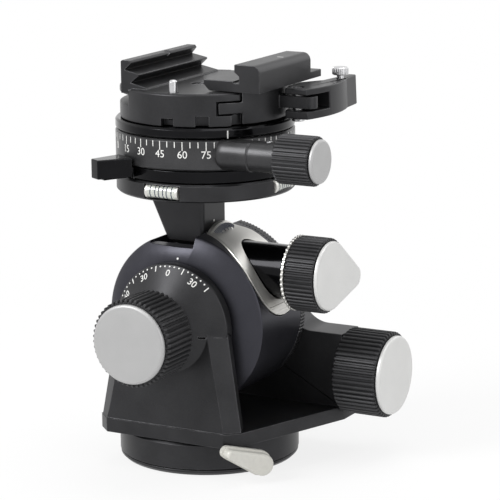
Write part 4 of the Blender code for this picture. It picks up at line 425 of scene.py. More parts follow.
# A lighter copy of the black anodising for the graduated ring: its lighter tone is painted light,
# its turned rings are real.
ring_black = make_finish(
    "ring_black", (0.054, 0.054, 0.056), 0.32, metal=0.70, depth=0.02, uneven=0.25,
    rub_and_highlight_colour=(0.20, 0.20, 0.21), rub_and_highlight_strength=0.4, shine=0.2, turned=("Z", (0, 0, 0), 0.5),
    slot="black_anodised")
barrel_grey = make_finish(
    "blue_grey_anodised", (0.045, 0.045, 0.054), 0.36, metal=0.75, uneven=0.10,
    rub_and_highlight_colour=(0.30, 0.30, 0.33), rub_and_highlight_strength=0.7, shine=0.2, turned=("Y", TILT, 0.6))
gloss = make_finish(
    "gloss_black", (0.007, 0.007, 0.008), 0.16, metal=0.8, depth=0.002, uneven=0.2,
    rub_and_highlight_colour=(0.30, 0.30, 0.31), rub_and_highlight_strength=0.4, coat=0.12, shine=0.1)
ribbed_black = make_finish(
    "knurl_black", (0.044, 0.044, 0.046), 0.46, metal=0.5, uneven=0.12, rub_and_highlight_colour=(0.14, 0.14, 0.15),
    rub_and_highlight_strength=0.30, shine=0.2)
silver = make_finish(
    "silver_anodised", (0.66, 0.65, 0.62), 0.33, metal=0.75, uneven=0.06, rub_and_highlight_colour=(0.85, 0.85, 0.83),
    rub_and_highlight_strength=0.4, turned=("X", ROCK, 0.4))
pearl = make_finish(
    "pearl_cap", (0.68, 0.68, 0.67), 0.42, metal=0.35, grain=0.2, depth=0.008, uneven=0.04,
    rub_and_highlight_colour=(0.85, 0.85, 0.85), rub_and_highlight_strength=0.5)
# A darker copy of the pearl cap finish for the front and pan caps: painted shade.
shaded_pearl = make_finish(
    "dull_pearl_cap", (0.43, 0.43, 0.43), 0.46, metal=0.45, grain=0.2, depth=0.008, uneven=0.05,
    rub_and_highlight_colour=(0.75, 0.75, 0.75), rub_and_highlight_strength=0.5, slot="pearl_cap")
lacquer = make_finish(
    "white_lacquer", (0.66, 0.65, 0.60), 0.34, grain=1.2, depth=0.02, uneven=0.05,
    rub_and_highlight_colour=(0.50, 0.49, 0.45), rub_and_highlight_strength=0.3, coat=0.3)
steel = make_finish(
    "steel", (0.55, 0.55, 0.56), 0.28, metal=1.0, depth=0.005, uneven=0.08,
    rub_and_highlight_colour=(0.80, 0.80, 0.80), rub_and_highlight_strength=0.5)
bronze = make_finish(
    "bronze", (0.16, 0.11, 0.06), 0.45, metal=1.0, uneven=0.25, rub_and_highlight_colour=(0.40, 0.30, 0.18), rub_and_highlight_strength=0.4)
print("finishes:", len(bpy.data.materials))

# %% Glass, polymer and print
glass = make_finish(
    "vial_glass", (0.55, 0.57, 0.52), 0.12, grain=0.8, depth=0.01, uneven=0.12, coat=0.8)
polymer = make_finish("polymer", (0.50, 0.48, 0.42), 0.55, uneven=0.06)
white_print = make_finish("white_print", (0.82, 0.82, 0.80), 0.50, grain=0.15, uneven=0.06)
dark_print = make_finish("dark_print", (0.06, 0.07, 0.10), 0.50, grain=0.15, uneven=0.10)
print("prints and glass added:", len(bpy.data.materials), "materials")

# %% [markdown]
# ## Node trees for what repeats
#
# Ribs, graduations, teeth and notches follow a rule, so each gets a small Geometry Nodes tree
# with named sizes. The first one starts from a cylinder and sinks every rib's gap by its angle.
# The second sets marks on a ring or cone. The third repeats a shape round an axis. Each run's
# result is kept as a plain mesh.

# %% Tree helpers


def start_tree(name, sizes):
    tree = bpy.data.node_groups.new(name, "GeometryNodeTree")
    tree.is_modifier = True
    tree.interface.new_socket("Geometry", in_out="INPUT", socket_type="NodeSocketGeometry")
    for label, value in sizes.items():
        kind = "NodeSocketInt" if isinstance(value, int) else "NodeSocketFloat"
        tree.interface.new_socket(label, in_out="INPUT", socket_type=kind).default_value = value
    tree.interface.new_socket("Finish", in_out="INPUT", socket_type="NodeSocketMaterial")
    tree.interface.new_socket("Geometry", in_out="OUTPUT", socket_type="NodeSocketGeometry")
    return tree, tree.nodes.new("NodeGroupInput").outputs


def end_tree(tree, geometry, sizes):
    real = add_node(tree, "GeometryNodeRealizeInstances", Geometry=geometry)
    painted = add_node(tree, "GeometryNodeSetMaterial", Geometry=real, Material=sizes["Finish"])
    feed(tree, painted, tree.nodes.new("NodeGroupOutput").inputs["Geometry"])


def join_xyz(tree, **axes):
    return add_node(tree, "ShaderNodeCombineXYZ", **axes)


def round_spot(tree, angle, radius, height):
    """A place given by its angle and radius round the Z axis."""
    along_x, along_y = (math_node(tree, "MULTIPLY", math_node(tree, kind, angle), radius)
                        for kind in ("COSINE", "SINE"))
    return join_xyz(tree, X=along_x, Y=along_y, Z=height)


def grow(name, tree, finish, start=None, turn=None, **sizes):
    """Runs a tree on a thing, or on an empty mesh, and keeps the result as a plain mesh."""
    if start is None:
        start = bpy.data.objects.new(name, bpy.data.meshes.new(name))
        scene.collection.objects.link(start)
    step = start.modifiers.new("tree", "NODES")
    step.node_group = tree
    for socket in tree.interface.items_tree:
        if socket.in_out == "INPUT" and socket.name.replace(" ", "_") in sizes:
            step[socket.identifier] = sizes[socket.name.replace(" ", "_")]
        elif socket.in_out == "INPUT" and socket.name == "Finish":
            step[socket.identifier] = finish
    bake(start)
    if turn is not None:
        start.data.transform(turn)
    return start


print("tree helpers are ready")

# %% Tree one: a ribbed wheel
rib_tree, rib_in = start_tree("ribbed_wheel", {
    "Ribs": 60, "Radius": 14.3, "Groove": 0.8, "Length": 15.0, "Edge": 0.5})
calc = calculator(rib_tree)
wheel = add_node(rib_tree, "GeometryNodeMeshCylinder", Side_Segments=3,
                 Radius=rib_in["Radius"], Depth=rib_in["Length"],
                 Vertices=calc("MULTIPLY", rib_in["Ribs"], 8.0))
apart = rib_tree.nodes.new("ShaderNodeSeparateXYZ")
feed(rib_tree, add_node(rib_tree, "GeometryNodeInputPosition"), apart.inputs[0])
x, y, z = apart.outputs
turn_angle = calc("ARCTAN2", y, x)
share = calc("DIVIDE", calc("MULTIPLY", turn_angle, rib_in["Ribs"]), 2 * math.pi)
from_gap = calc("ABSOLUTE", calc("SUBTRACT", calc("FRACT", calc("ADD", share, 0.001)), 0.5))
sunk = calc("MULTIPLY", rib_in["Groove"], spread_node(rib_tree, from_gap, 0.15, 0.28, 1.0, 0.0))
half = calc("DIVIDE", rib_in["Length"], 2.0)
at_end = calc("GREATER_THAN", calc("ABSOLUTE", z), calc("MULTIPLY", half, 0.9))
new_radius = calc("SUBTRACT", calc("SUBTRACT", rib_in["Radius"], sunk),
                  calc("MULTIPLY", rib_in["Edge"], at_end))
lowered = calc("MULTIPLY", rib_in["Edge"], calc("SUBTRACT", 1.0, at_end))
new_height = calc("MULTIPLY", calc("SIGN", z), calc("SUBTRACT", half, lowered))
moved = add_node(rib_tree, "GeometryNodeSetPosition", Geometry=wheel,
                 Position=round_spot(rib_tree, turn_angle, new_radius, new_height))
end_tree(rib_tree, moved, rib_in)
print("ribbed wheel tree:", len(rib_tree.nodes), "nodes")

# %% Tree two: marks on a ring or a cone
mark_tree, mark_in = start_tree("marks_around", {
    "Count": 72, "First": 0.0, "Step": 5.0, "Radius": 29.4, "Height": 110.0, "Lean": 0.0,
    "Width": 0.4, "Length": 2.0, "Long Length": 2.9, "Long Every": 3, "Depth": 0.05})
calc = calculator(mark_tree)
row = add_node(mark_tree, "GeometryNodeMeshLine", Count=mark_in["Count"])
number = add_node(mark_tree, "GeometryNodeInputIndex")
mark_angle = calc("RADIANS", calc("MULTIPLY_ADD", number, mark_in["Step"], mark_in["First"]))
is_long = calc("LESS_THAN", calc("MODULO", number, mark_in["Long Every"]), 0.5)
extra = calc("SUBTRACT", mark_in["Long Length"], mark_in["Length"])
mark_length = calc("MULTIPLY_ADD", is_long, extra, mark_in["Length"])
half_length = calc("DIVIDE", mark_length, 2.0)
lean = calc("RADIANS", mark_in["Lean"])
inward, down = (calc("MULTIPLY", calc(kind, lean), half_length) for kind in ("SINE", "COSINE"))
mark_radius = calc("SUBTRACT", mark_in["Radius"], inward)
mark_height = calc("SUBTRACT", mark_in["Height"], down)
spread_out = add_node(mark_tree, "GeometryNodeSetPosition", Geometry=row,
                      Position=round_spot(mark_tree, mark_angle, mark_radius, mark_height))
stroke = add_node(mark_tree, "GeometryNodeMeshCube",
                  Size=join_xyz(mark_tree, X=mark_in["Depth"], Y=mark_in["Width"], Z=1.0))
face_out = add_node(mark_tree, "FunctionNodeEulerToRotation",
                    Euler=join_xyz(mark_tree, Y=lean, Z=mark_angle))
strokes = add_node(mark_tree, "GeometryNodeInstanceOnPoints", Points=spread_out, Instance=stroke,
                   Rotation=face_out, Scale=join_xyz(mark_tree, X=1.0, Y=1.0, Z=mark_length))
end_tree(mark_tree, strokes, mark_in)
print("marks tree:", len(mark_tree.nodes), "nodes")

# %% Tree three: a shape repeated round an axis
copy_tree, copy_in = start_tree("copies_around", {"Count": 15, "First": 0.0, "Step": 24.0})
calc = calculator(copy_tree)
copy_row = add_node(copy_tree, "GeometryNodeMeshLine", Count=copy_in["Count"])
still = add_node(copy_tree, "GeometryNodeSetPosition", Geometry=copy_row, Position=(0, 0, 0))
copy_number = add_node(copy_tree, "GeometryNodeInputIndex")
copy_angle = calc("RADIANS", calc("MULTIPLY_ADD", copy_number, copy_in["Step"], copy_in["First"]))
copy_turn = add_node(copy_tree, "FunctionNodeEulerToRotation",
                     Euler=join_xyz(copy_tree, Z=copy_angle))
copies = add_node(copy_tree, "GeometryNodeInstanceOnPoints", Points=still,
                  Instance=copy_in["Geometry"], Rotation=copy_turn)
end_tree(copy_tree, copies, copy_in)
print("copies tree:", len(copy_tree.nodes), "nodes")

# %% [markdown]
# ## The foot
#
# The head stands on a turned puck that screws onto the tripod. The frame's round skirt turns on
# it, so the two meet in a dark line near the floor. Both are lathed. The threaded insert in the
# middle shows its thread as a row of sharp rings, which is how a fine thread looks from below.

# %% Puck, skirt and insert
FOOT_RADIUS = 30.0
LOCK_TURN = math.radians(54.1)
LOCK_HEIGHT = 5.9
LOCK = Matrix.Translation((0, 0, LOCK_HEIGHT)) @ Matrix((
    (math.cos(LOCK_TURN), math.sin(LOCK_TURN), 0), (0, 0, 1),
    (math.sin(LOCK_TURN), -math.cos(LOCK_TURN), 0))).transposed().to_4x4()
dress(lathe("base_puck_turned", [
    (6.5, 0), (28.8, 0), (29.8, 1.0), (29.8, 1.8), (20.0, 1.8), (20.0, 8.1), (6.5, 8.1)],
    corner=0.2), black, "tripod_puck", "base_puck")
skirt = lathe("base_skirt", [
    (20.3, 2.1), (FOOT_RADIUS, 2.1), (FOOT_RADIUS, 10.1), (29.2, 10.9), (24.1, 10.9), (24.1, 8.1),
    (20.3, 8.1)], corner=0.2)
machine(skirt, black, "frame", "base_housing", cut=[
    bore(2.0, 18, 24.2, LOCK, sides=32), bore(2.1, 20, 32, LOCK, sides=32)])
dress(lathe("base_retainer_turned", [
    (6.5, 8.4), (23.8, 8.4), (23.8, 10.6), (9.8, 10.6), (9.8, 9.3), (6.5, 9.3)], corner=0.2),
    steel, "tripod_puck", "base_retainer")
THREAD_PITCH = 0.75
thread = [(6.2, 0.3), (6.2, 9.6), (9.5, 9.6), (9.5, 10.6), (4.9, 10.6)]
for i in range(12, -1, -1):
    valley = 0.7 + THREAD_PITCH * i
    thread += [(4.75, valley + 0.36), (4.5, valley)]
dress(lathe("thread_insert_turned", thread, sides=64), steel, "tripod_puck", "thread_insert")
print("foot is", 2 * FOOT_RADIUS, "mm across")

# %% [markdown]
# The foot's lock is a small white lever with a round hub and a tapering finger. It is a loft
# through teardrop outlines that shrink towards the face, so its edge rolls over softly.

# %% Lock lever


def teardrop(hub, tip, reach, angle, hub_steps, tip_steps):
    spread = math.degrees(math.acos((hub - tip) / reach))
    end = (reach * math.cos(math.radians(angle)), reach * math.sin(math.radians(angle)))
    return (arc((0, 0), hub, angle + spread, angle + 360 - spread, hub_steps)
            + arc(end, tip, angle - spread, angle + spread, tip_steps))


def drop_section(inset, height):
    outline = teardrop(4.1 - inset, 2.1 - inset, 12.4, 180 - 23.9, 40, 16)
    return [(x, y, height) for x, y in outline]


LEVER_BACK = 36.9
lever_levels = [(0.15, LEVER_BACK), (0.0, LEVER_BACK + 0.15), (0.0, LEVER_BACK + 1.65),
                (0.12, LEVER_BACK + 1.8), (0.45, LEVER_BACK + 1.85)]
for slant in range(0, 91, 18):
    roll = math.radians(slant)
    lever_levels.append((0.5 + 0.9 * (1 - math.cos(roll)), LEVER_BACK + 4.2 + 1.1 * math.sin(roll)))
dress(loft("lock_lever", [drop_section(*level) for level in lever_levels], LOCK), lacquer,
      "base_lock", "base_lock_lever")
print("lock lever has", len(lever_levels), "sections")

# %% [markdown]
# ## The frame
#
# A thick base plate carries two uprights. The front one is a flat trapezoid whose side bevels
# grow towards the top, where it runs into the round dial, a cone that narrows towards the
# knob. The rear one holds the worm gear and sweeps down to the gear box in a quarter circle.
# It is joined from those few solids, bored, and then all its edges are softened at once.

# %% Plate, uprights and dial
plate = extrude("frame_body", [
    (-21.9, -30.0), (21.9, -30.0), (26.4, -25.8), (42.0, 17.5), (42.0, 28.4), (-22.0, 28.4),
    (-26.4, 17.5), (-26.4, -25.8)], 11.2, 16.0)


def leg_section(back, side, face, front, side_front, height):
    """Six corners: how far the back, side and face reach sideways, and the front forwards."""
    return [(-back, -20.6, height), (back, -20.6, height), (side, -side_front, height),
            (face, -front, height), (-face, -front, height), (-side, -side_front, height)]


leg = loft("leg", [leg_section(24.5, 26.2, 21.7, 29.8, 25.6, 15.7),
                   leg_section(19.2, 19.26, 13.58, 27.33, 23.36, 54.0)])
DIAL_RADIUS = 20.6
DIAL_RIM = 24.0
dial = lathe("dial", [(0, -20.6), (DIAL_RADIUS, -20.6), (DIAL_RADIUS, -DIAL_RIM), (12.9, -29.5),
                      (11.2, -31.0), (0, -31.0)], TILT_AXIS, sides=160)
back_outline = ([(-21.0, 15.7), (42.0, 15.7), (42.0, 41.0)] + arc((31, 51), 10, -90, -180, 24)
                + arc((0, TILT_HEIGHT), 21.0, math.degrees(math.asin(2.75 / 21)), 180, 72))
back = extrude("back", back_outline, -28.4, -15.6, SIDE_VIEW)
WORM = (0, 20.7, 27.9)
machine(plate, black, "frame", "main_frame", edge=0.35, add=[leg, dial, back], cut=[
    bore(7.7, -33, -18, TILT_AXIS), bore(7.7, 13, 28.4, TILT_AXIS),
    bore(16.4, 17.2, 31, TILT_AXIS), bore(4.6, -8.3, 44, at("X", WORM)),
    bore(3.3, -12.9, 0, at("X", WORM))])

# %% Rear cover
cover = lathe("rear_cover_turned", [
    (0, 26.6), (16.1, 26.6), (16.1, 28.7), (19.2, 28.7), (19.2, 30.7), (17.4, 30.7),
    (17.0, 30.3), (6.0, 30.3), (5.6, 30.7), (0, 30.7)], TILT_AXIS, corner=0.25)
machine(cover, black, "frame", "rear_cover", cut=[
    bore(1.1, 29.5, 33, at("Y", (x, 0, TILT_HEIGHT)), sides=32) for x in (-13, 13)])

# %% [markdown]
# ## The dial's graduation
#
# The dial on the front upright has a white dot every five degrees, short lines at the odd
# fifteens, and numbers at the thirties, printed on the cone. Dots and lines come from the marks
# tree. A number is real text made into a mesh and then bent onto the cone, each point by its
# own angle and slant, so it lies in the surface as print does.

# %% Dots, lines and numbers on the dial
CONE_TURN = math.atan2(5.6, 4.0)


def digits(text, size, bold=0.0):
    """Text as a flat mesh in the XY plane, centred on the origin."""
    curve = bpy.data.curves.new("text", "FONT")
    curve.body = text
    curve.size = size
    curve.offset = bold
    curve.extrude = 0.02
    curve.align_x = "CENTER"
    curve.align_y = "CENTER"
    curve.resolution_u = 4
    made = bpy.data.objects.new("text", curve)
    scene.collection.objects.link(made)
    graph = bpy.context.evaluated_depsgraph_get()
    mesh = bpy.data.meshes.new_from_object(made.evaluated_get(graph))
    bpy.data.objects.remove(made)
    bm = bmesh.new()
    bm.from_mesh(mesh)
    bmesh.ops.remove_doubles(bm, verts=bm.verts, dist=0.002)
    bmesh.ops.subdivide_edges(bm, edges=[e for e in bm.edges if e.calc_length() > 0.5], cuts=2)
    bmesh.ops.triangulate(bm, faces=bm.faces)
    return bm


def on_cone(bm, degrees, radius):
    """Bends a flat sign onto the cone: x runs round it, y up its slope and z off its surface."""
    along, across = math.sin(CONE_TURN), math.cos(CONE_TURN)
    front = -DIAL_RIM - (DIAL_RADIUS - radius) / math.tan(CONE_TURN)
    for point in bm.verts:
        side, up, off = point.co
        angle = math.radians(degrees) + side / radius
        r = radius + up * along + off * across
        y = front + up * across - (off + 0.02) * along
        point.co = (r * math.sin(angle), y, TILT_HEIGHT + r * math.cos(angle))
    return bm


dial_parts = []
for degrees in range(-90, 46, 5):
    if degrees % 30 == 0:
        dial_parts.append(on_cone(digits(str(abs(degrees)), 3.1, 0.03), degrees, 18.0))
    if degrees % 30 == 0 or degrees % 15:
        dial_parts.append(on_cone(disc(0.29, 0.04, 14), degrees, 19.9))
gather("dial_print", dial_parts, white_print, "frame")
lines = grow("dial_lines", mark_tree, white_print, turn=TILT_AXIS, Count=5, First=-75.0,
             Step=30.0, Radius=20.2, Height=-24.29, Lean=math.degrees(CONE_TURN), Width=0.36,
             Length=2.0, Long_Length=2.0, Depth=0.06)
dress(lines, white_print, "frame")
print("dial printed with", len(dial_parts), "signs and 5 lines")

# %% [markdown]
# ## Knobs
#
# Two large knobs and a smaller one have flat ribs with narrow dark gaps and a bright satin cap.
# The ribbed wheel tree makes the bodies. A cap is lathed with a flat face and a rolled edge that
# catches the light. The front knob stands on a smooth neck, which is joined to its ribbed body.

# %% Straight knobs and their caps


def knob(name, body, node, radius, groove, ribs, low, high, hole, turn, edge=0.5, neck=()):
    middle = turn @ Matrix.Translation((0, 0, (low + high) / 2))
    made = grow(name, rib_tree, ribbed_black, turn=middle, Ribs=ribs, Radius=radius, Groove=groove,
                Length=high - low, Edge=edge)
    machine(made, ribbed_black, body, node, add=neck,
            cut=[bore(hole, low - 4, high + 1, turn, sides=48)])


def cap(name, body, node, radius, low, high, stud, turn, finish=pearl):
    made = lathe(name, [
        (0, low - 1.6), (stud, low - 1.6), (stud, low), (radius, low), (radius, high - 0.6),
        (radius - 0.25, high - 0.2), (radius - 0.7, high), (0, high)], turn, corner=0.3)
    dress(made, finish, body, node)


FRONT = TILT_AXIS @ Matrix.Rotation(math.pi, 4, "X")
LOWER = at("X", WORM)
DRIVE_Y = -21.0
PAN_DRIVE = at("X", (0, DRIVE_Y, 106.0))
KNOB_RADIUS = 14.3
knob("front_knob_ribs", "tilt_clamp_knob", "front_knob", KNOB_RADIUS, 0.9, 50, 34.6, 49.5, 3.8,
     FRONT, neck=[tube("neck", 0, 12.4, 31.9, 35.5, FRONT, corner=0.4)])
cap("front_cap", "tilt_clamp_knob", "front_knob_cap", 12.9, 49.8, 51.4, 2.6, FRONT, shaded_pearl)
dress(tube("front_washer", 5.6, 10.6, 31.1, 31.6, FRONT, corner=0.1), polymer,
      "tilt_clamp_knob", "front_knob_washer")
knob("lower_knob_ribs", "tilt_drive", "lower_knob", KNOB_RADIUS, 0.9, 50, 42.5, 57.7, 3.3, LOWER)
cap("lower_cap", "tilt_drive", "lower_knob_cap", 13.1, 58.0, 59.6, 2.6, LOWER)
knob("pan_knob_ribs", "pan_drive", "pan_knob", 7.9, 0.55, 36, 39.4, 51.8, 2.3, PAN_DRIVE, 0.4)
cap("pan_cap", "pan_drive", "pan_knob_cap", 7.0, 52.1, 53.5, 1.7, PAN_DRIVE, shaded_pearl)
print("three straight knobs with caps")

# %% [markdown]
# ## The barrel
#
# The barrel is the drum that tilts between the uprights. A slot is milled across its top for
# the stem, and a round seat on its right side takes the silver collar. A toothed ring closes it
# at the rear. It is anodised in a cool grey that is lighter than the frame.

# %% Drum and toothed ring
DRUM_RADIUS = 28.6
DRUM_TOP = TILT_HEIGHT + DRUM_RADIUS
SLOT_LEFT = -12.8
SLOT_RIGHT = 4.3


def slot_cut(front, back, low, high):
    return block("slot", (SLOT_LEFT, front, low), (SLOT_RIGHT, back, high))


drum = lathe("barrel_drum", [
    (5.3, 12.0), (DRUM_RADIUS, 12.0), (DRUM_RADIUS, -14.8), (27.9, -15.5), (19.8, -20.3),
    (5.3, -20.3)], TILT_AXIS, sides=192)
seat = bore(14.8, 2.3, 30.6, ROCK_AXIS, sides=160)
shape(seat, cut=[block("rear", (-DRUM_RADIUS, 10.5, 35), (2 * DRUM_RADIUS, 25, 94))])
machine(drum, barrel_grey, "tilt_barrel", "barrel", edge=0.22, cut=[
    bore(24.6, -12.8, 9.5, TILT_AXIS), slot_cut(-22.3, 14, 73.1, DRUM_TOP + 2),
    slot_cut(-12.2, 14, 69.0, DRUM_TOP), seat])
tooth_ring = grow("tooth_ring", rib_tree, black, turn=at("Y", (0, 13.8, TILT_HEIGHT)), Ribs=150,
                  Radius=DRUM_RADIUS, Groove=0.22, Length=3.0, Edge=0.12)
machine(tooth_ring, black, "tilt_barrel", "toothed_rim", cut=[
    bore(20.5, 10, 17, TILT_AXIS), slot_cut(10, 17, 72.2, DRUM_TOP + 2)])

# %% Index dot on the drum's cone
on_drum = Matrix.Translation((0, -19.35, 69.72)) @ Matrix.Rotation(math.radians(60), 4, "X")
dress(solid("drum_dot", disc(0.38, 0.05), on_drum), white_print, "tilt_barrel")
print("the dot meets the dial's zero")

# %% [markdown]
# ## Silver collar and tube
#
# A bright collar is let into the drum and ends in a nose beside the slot. It is one disc cut to
# the drum's own radius, joined with a short cone, and bored for the tube. Its dark graduation
# shows how far the stem rocks. The glossy tube leads to the lobed knob behind a scalloped
# silver washer.

# %% Collar
collar = tube("collar", 0, 14.5, 4.6, 30.6, ROCK_AXIS, sides=160)
shape(collar, cut=[tube("outside", 28.9, 57, -30, 30, TILT_AXIS, sides=192)])
nose = lathe("nose", [(0, 4.6), (14.5, 4.6), (14.5, 5.8), (11.0, 9.0), (0, 9.0)], ROCK_AXIS,
             sides=160)
machine(collar, silver, "tilt_barrel", "saddle", edge=0.25, add=[nose], cut=[
    bore(24.6, -30, 30, TILT_AXIS), bore(9.1, 2, 33, ROCK_AXIS),
    block("rear", (-DRUM_RADIUS, 10.2, 35), (2 * DRUM_RADIUS, 25, 94))])
nose_marks = grow("nose_marks", mark_tree, dark_print, turn=ROCK_AXIS, Count=25, First=62.0,
                  Step=2.3, Radius=13.9, Height=6.42, Lean=180 - 47.6, Width=0.19, Length=1.9,
                  Long_Length=2.8, Long_Every=4, Depth=0.12)
dress(nose_marks, dark_print, "tilt_barrel")

# %% Tube and scalloped washer
dress(tube("drive_tube", 6.6, 8.8, 14.0, 33.4, ROCK_AXIS, corner=0.2), gloss, "tilt_barrel",
      "tilt_tube")
washer = grow("scalloped_washer", rib_tree, silver, turn=at("X", (34.1, 0, ROCK_HEIGHT)), Ribs=44,
              Radius=12.4, Groove=0.35, Length=0.8, Edge=0.1)
machine(washer, silver, "tilt_barrel", "tube_washer", cut=[bore(2.7, 30, 38, ROCK_AXIS, sides=48)])

# %% [markdown]
# ## The lobed knob
#
# This drive knob is drawn out into a lobe, so that a finger can turn it through a small, exact
# angle. Its outline is a circle and a smaller circle joined by tangents. To rib it, the script
# walks along that outline at even steps and sinks every rib's gap towards the inside.

# %% Lobed knob and cap


def walk(outline, pitch_count, per_rib):
    """Even steps along a closed outline, each with its inward direction."""
    points = [Vector(point) for point in outline]
    gaps = [(points[(i + 1) % len(points)] - p).length for i, p in enumerate(points)]
    total = sum(gaps)
    steps = pitch_count * per_rib
    spots, i, passed = [], 0, 0.0
    for n in range(steps):
        goal = total * n / steps
        while passed + gaps[i] < goal:
            passed += gaps[i]
            i += 1
        way = points[(i + 1) % len(points)] - points[i]
        spots.append((points[i] + way * ((goal - passed) / gaps[i]),
                      Vector((-way.y, way.x)).normalized()))
    return spots


def lobe_outline(inset):
    return teardrop(12.3 - inset, 4.5 - inset, 18.0, -12.0, 180, 40)


LOBE_RIBS = 58
RIB_STEPS = 8
lobe_spots = walk(lobe_outline(0), LOBE_RIBS, RIB_STEPS)


def lobe_section(edge, height):
    section = []
    for n, (spot_on, inside) in enumerate(lobe_spots):
        from_middle = abs((n / RIB_STEPS) % 1 - 0.5)
        sink = 0.75 * min(1, max(0, (0.28 - from_middle) / 0.13))
        place = spot_on + inside * (sink + edge)
        section.append((place.x, place.y, height))
    return section


lobe_levels = [(0.5, 34.8), (0.12, 34.95), (0.0, 35.3), (0.0, 44.5), (0.12, 44.85), (0.5, 45.0)]
lobe = loft("lobe_knob_ribs", [lobe_section(*level) for level in lobe_levels], ROCK_AXIS)
machine(lobe, ribbed_black, "rock_drive", "lobe_knob", cut=[
    bore(2.7, 32, 47, ROCK_AXIS, sides=48)])
cap_levels = [(1.0, 45.3), (1.0, 46.0), (1.15, 46.3), (1.6, 46.5)]
lobe_cap = loft("lobe_cap", [[(x, y, z) for x, y in lobe_outline(inset)]
                             for inset, z in cap_levels], ROCK_AXIS)
dress(lobe_cap, pearl, "rock_drive", "lobe_knob_cap")
print("lobed knob has", LOBE_RIBS, "ribs")

# %% [markdown]
# ## The rocking stem
#
# The stem carries the whole panning unit. It leaves the slot as a straight column and flares
# to the left towards its head. It is a loft through four rounded rectangles on a round hub.

# %% Stem
STEM_RIGHT = 3.1


def stem_section(left, depth, height):
    outline = rounded([(-left, -depth), (STEM_RIGHT, -depth), (STEM_RIGHT, depth), (-left, depth)],
                      1.6, 5)
    return [(x, y, height) for x, y in outline]


stem_hub = tube("stem_body", 0, 6.6, -7.6, STEM_RIGHT, ROCK_AXIS)
column = loft("column", [stem_section(7.6, 6.0, ROCK_HEIGHT), stem_section(7.9, 6.3, 71.4),
                         stem_section(10.9, 8.0, 73.2), stem_section(18.6, 8.0, 90.0)])
machine(stem_hub, black, "rocking_stem", "stem", add=[column], cut=[bore(2.8, -10, 6, ROCK_AXIS)])
dress(solid("stem_dot", disc(0.42, 0.05), at("X", (3.12, -0.6, 79.2))), white_print,
      "rocking_stem")

# %% [markdown]
# ## The panning unit
#
# Under the panning unit a plate holds two small spirit levels in its rim. A glossy ring with a
# tab frees the unit, and above it sits the graduated ring with the drive's housing. All are
# lathed, with pockets cut for the levels.

# %% Plate with level pockets
RING_RADIUS = 29.4


def rim(low, high):
    """A ring's outer side from low to high, with both corners taken off."""
    return [(28.8, low), (RING_RADIUS, low + 0.6), (RING_RADIUS, high - 0.6), (28.8, high)]


pan_plate = lathe("pan_plate", [(0, 90.3)] + rim(90.3, 96.1) + [
    (18.6, 96.1), (18.6, 100.3), (10.5, 100.3), (10.5, 97.3), (0, 97.3)], corner=0.2, sides=192)
pocket = block("pocket", (24.9, -6.5, 90.8), (31.4, 6.5, 95.6))
grow("pocket", copy_tree, black, start=pocket, Count=2, First=-90.0, Step=90.0)
machine(pan_plate, black, "rocking_stem", "pan_base_plate", edge=0.15, cut=[pocket])

# %% [markdown]
# A spirit level is a short glass vial with a bubble between two printed lines and a bright
# plug at each end. The vial is a lathed capsule, and its lines and plugs are thin rings.

# %% Spirit levels


def level(name, node, turn):
    vial = lathe(name + "_glass", [
        (0, -5.5), (1.8, -5.5), (2.25, -5.0), (2.25, 5.0), (1.8, 5.5), (0, 5.5)],
        turn, corner=0.2, sides=48)
    dress(vial, glass, "rocking_stem", node)
    lines = [tube("line", 2.2, 2.3, middle - 0.17, middle + 0.17, turn, sides=48)
             for middle in (-3.9, -2.1, -0.8, 0.8, 2.1, 3.9)]
    gather(name + "_lines", lines, dark_print, "rocking_stem")
    plugs = [lathe("plug", [(0, 4.9 * end), (2.35, 4.9 * end), (2.35, 6.0 * end), (0, 6.0 * end)],
                   turn, corner=0.2, sides=48) for end in (-1, 1)]
    gather(name + "_plugs", plugs, silver, "rocking_stem")


level("front_level", "front_level_vial", at("X", (0, -27.3, 93.2)))
level("side_level", "side_level_vial", at("Y", (27.3, 0, 93.2)))
print("two spirit levels")

# %% Release ring with its tab
release = tube("release_ring_turned", 19.0, 28.5, 96.4, 100.3, sides=192)
arm = block("arm", (21.2, -2.2, 96.7), (39.3, 2.2, 100.0))
tab = extrude("tab", [(30.0, -4.4), (41.5, -2.2), (41.5, 2.2), (30.0, 4.4)], 97.2, 103.5)
for part in (arm, tab):
    part.data.transform(Matrix.Rotation(math.radians(240.5), 4, "Z"))
machine(release, gloss, "head_release", "release_ring", edge=0.35, steps=3, add=[arm, tab])

# %% [markdown]
# The pan drive's housing grows out of the graduated ring as a bullet, so that it hides little of
# the print. A narrow groove marks where its collar ends. It is lathed round the drive's axis,
# joined with the ring and bored for a stepped bronze bush.

# %% Graduated ring with the drive's housing
grad = lathe("graduated_ring_turned", [(7.1, 100.6)] + rim(100.6, 110.5) + [
    (18.0, 110.5), (18.0, 102.0), (7.1, 102.0)], corner=0.15, sides=192)
COLLAR_SCREW = at("Z", (35.0, DRIVE_Y, 0))
housing = lathe("housing", [
    (0, 16.2), (2.4, 16.4), (4.2, 17.4), (5.0, 18.8), (5.2, 20.5), (5.2, 28.9), (4.85, 29.1),
    (4.85, 29.4), (5.0, 29.6), (5.0, 38.6), (4.6, 39.0), (0, 39.0)], PAN_DRIVE, sides=96)
machine(grad, ring_black, "rocking_stem", "graduated_ring", edge=0.12, add=[housing], cut=[
    bore(3.6, -9.2, 6.4, PAN_DRIVE, sides=64), bore(2.9, 6.0, 19.0, PAN_DRIVE, sides=64),
    bore(3.6, 18.3, 41, PAN_DRIVE, sides=64), bore(1.4, 106, 116, COLLAR_SCREW, sides=32),
    block("above", (0, -RING_RADIUS, 110.5), (RING_RADIUS, 0, 114.2))])
